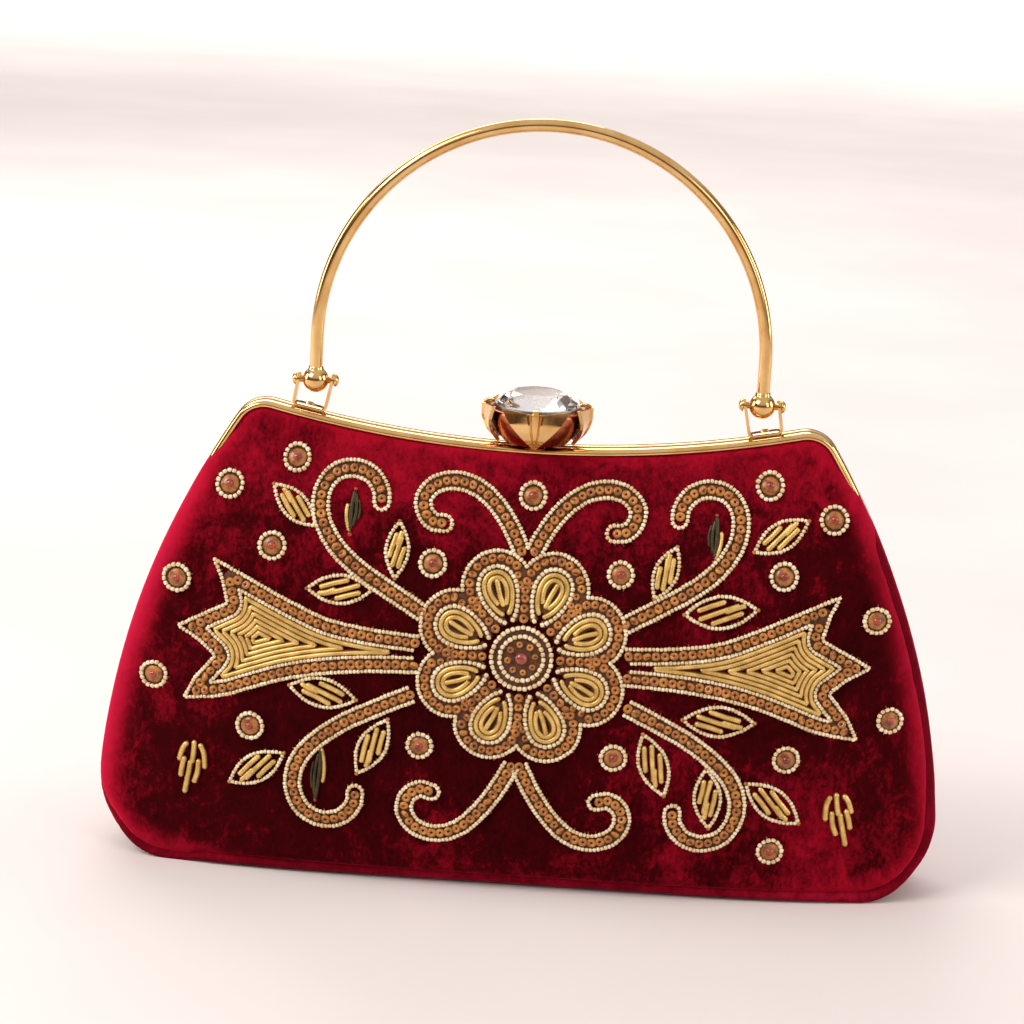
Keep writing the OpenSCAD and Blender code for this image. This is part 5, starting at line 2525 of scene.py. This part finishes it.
@dataclass
class Stage:
    """The camera, the lights and the floor."""

    azimuth: float = 1.99
    elevation: float = 13.979
    roll: float = 3.044
    distance: float = 784.85
    target: tuple[float, float, float] = (-5.82, 0.0, 108.753)
    lens: float = 93.6
    lamps: tuple = (
        ("window", (-1.1, -0.8, 1.25), (0.9, 0.8), 18.0, (1.0, 0.965, 0.93)),
        ("fill", (1.4, -1.2, 0.8), (0.7, 1.1), 5.5, (1.0, 0.97, 0.95)),
        ("left", (-1.3, 0.02, 0.5), (0.5, 0.7), 6.5, (1.0, 0.95, 0.93)),
        ("right", (1.3, 0.05, 0.45), (0.5, 0.7), 6.0, (1.0, 0.95, 0.93)),
        ("back", (-0.5, 1.4, 1.2), (1.6, 0.8), 16.0, (1.0, 0.96, 0.93)))

    def camera(self) -> None:
        """Puts the camera in place."""
        az, el, roll = (math.radians(v) for v in (self.azimuth, self.elevation, self.roll))
        back = np.array([math.sin(az) * math.cos(el), -math.cos(az) * math.cos(el), math.sin(el)])
        right = unit(np.cross(-back, UP))
        up = np.cross(right, -back)
        x = math.cos(roll) * right + math.sin(roll) * up
        y = math.cos(roll) * up - math.sin(roll) * right
        place = np.array(self.target) + self.distance * back
        data = bpy.data.cameras.new("camera")
        data.lens, data.sensor_width = self.lens, 36.0
        data.clip_start, data.clip_end = 0.01, 100.0
        camera = bpy.data.objects.new("camera", data)
        matrix = np.eye(4)
        matrix[:3, 0], matrix[:3, 1], matrix[:3, 2], matrix[:3, 3] = x, y, back, place * MM
        camera.matrix_world = Matrix(matrix.tolist())
        bpy.context.scene.collection.objects.link(camera)
        bpy.context.scene.camera = camera

    def light(self, name: str, place: Sequence[float], size: Sequence[float], power: float,
              colour: Colour, aim: Sequence[float] = (0.0, 0.0, 0.09),
              spread: float = 180.0) -> None:
        """Hangs one soft light, which looks at the bag unless it is told otherwise.

        Args:
            name: its name.
            place: where it hangs, in metres.
            size: its width and height in metres.
            power: its power in watts.
            colour: its colour.
            aim: the place it looks at, in metres.
            spread: how wide it shines, in degrees.
        """
        data = bpy.data.lights.new(name, "AREA")
        data.shape, data.size, data.size_y = "RECTANGLE", size[0], size[1]
        data.energy, data.color = power, colour
        data.spread = math.radians(spread)
        lamp = bpy.data.objects.new(name, data)
        lamp.location = place
        way = Vector(aim) - Vector(place)
        lamp.rotation_euler = way.to_track_quat("-Z", "Y").to_euler()
        bpy.context.scene.collection.objects.link(lamp)

    def floor(self) -> None:
        """Lays the floor."""
        size, n = 9000.0, 24
        line = np.linspace(-size, size, n)
        gx, gy = np.meshgrid(line, line, indexing="ij")
        grid = np.stack([gx, gy, np.full_like(gx, -0.02)], -1)
        obj = Solid(grid.reshape(-1, 3), grid_faces(n, n)).object("floor")
        if obj.data.polygons[0].normal.z < 0:
            obj.data.flip_normals()
        obj.data.materials.append(FLOOR.material())

    def build(self) -> None:
        """Sets up the whole stage."""
        self.camera()
        self.floor()
        for name, place, size, power, colour in self.lamps:
            self.light(name, place, size, power, colour)
        self.light("far", (0.0, 4.6, 2.6), (9.0, 3.5), 150.0, (1.0, 0.965, 0.94),
                   (0.0, 4.6, 0.0), 115.0)
        world = bpy.data.worlds.new("soft_room")
        n = Nodes(world)
        way = n.add("ShaderNodeTexCoord", out="Generated")
        rise = n.add("ShaderNodeSeparateXYZ", {}, {0: way}, out="Z")
        across = n.add("ShaderNodeSeparateXYZ", {}, {0: way}, out="X")
        sky = n.ramp(rise, [(0.0, (0.06, 0.03, 0.02)), (0.10, (0.14, 0.075, 0.05)),
                            (0.22, (0.30, 0.22, 0.18)), (0.42, (0.80, 0.76, 0.73)),
                            (1.0, (0.95, 0.92, 0.90))])
        wall = n.span(n.add("ShaderNodeMath", {"operation": "ABSOLUTE"}, {0: across}), 0.62, 0.8)
        room = n.mix(wall * 0.85, sky, (0.10, 0.055, 0.035))
        light = n.add("ShaderNodeBackground", {}, {"Color": room, "Strength": 0.9})
        n.add("ShaderNodeOutputWorld", {}, {"Surface": light})
        scene = bpy.context.scene
        scene.world = world
        scene.view_settings.view_transform = "Standard"
        scene.view_settings.exposure = 0.0


# ---------------------------------------------------------------- the whole bag


def main() -> None:
    """Builds every piece of the bag and its stage."""
    logging.basicConfig(level=logging.INFO, format="%(name)s: %(message)s")
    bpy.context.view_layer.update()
    Stage().build()
    dress_frame()
    outline = Outline()
    shells = {Body.FRONT: Shell(Side.FRONT, outline), Body.BACK: Shell(Side.BACK, outline, 29.4)}
    faces: dict[Body, VelvetFace] = {}
    for body, shell in shells.items():
        half = body.value.split("_")[0]
        face = VelvetFace(shell, 3 if body is Body.FRONT else 5)
        face.build()
        face.dress(f"{half}_velvet_face", body, [f"{half}_panel", f"{half}_foam"])
        faces[body] = face
        VelvetWall(shell).dress(f"{half}_velvet_wall", body, f"{half}_wall")
        Lining(shell, 7).dress(f"{half}_satin_lining", body, f"{half}_lining")
        RailBar(shell).dress(f"{half}_rail_bar", body, f"{half}_rail")
    ground = Ground(faces[Body.FRONT].solid)
    for motif in (Flower(ground), Scrolls(ground), Fans(ground), Leaves(ground), Dots(ground),
                  Sprigs(ground)):
        motif.dress()
    Handle().dress()
    Clasp().dress()
    for sign in (1, -1):
        Gusset(sign).dress()
    Pocket(shells[Body.BACK]).dress()


if __name__ == "__main__":
    main()
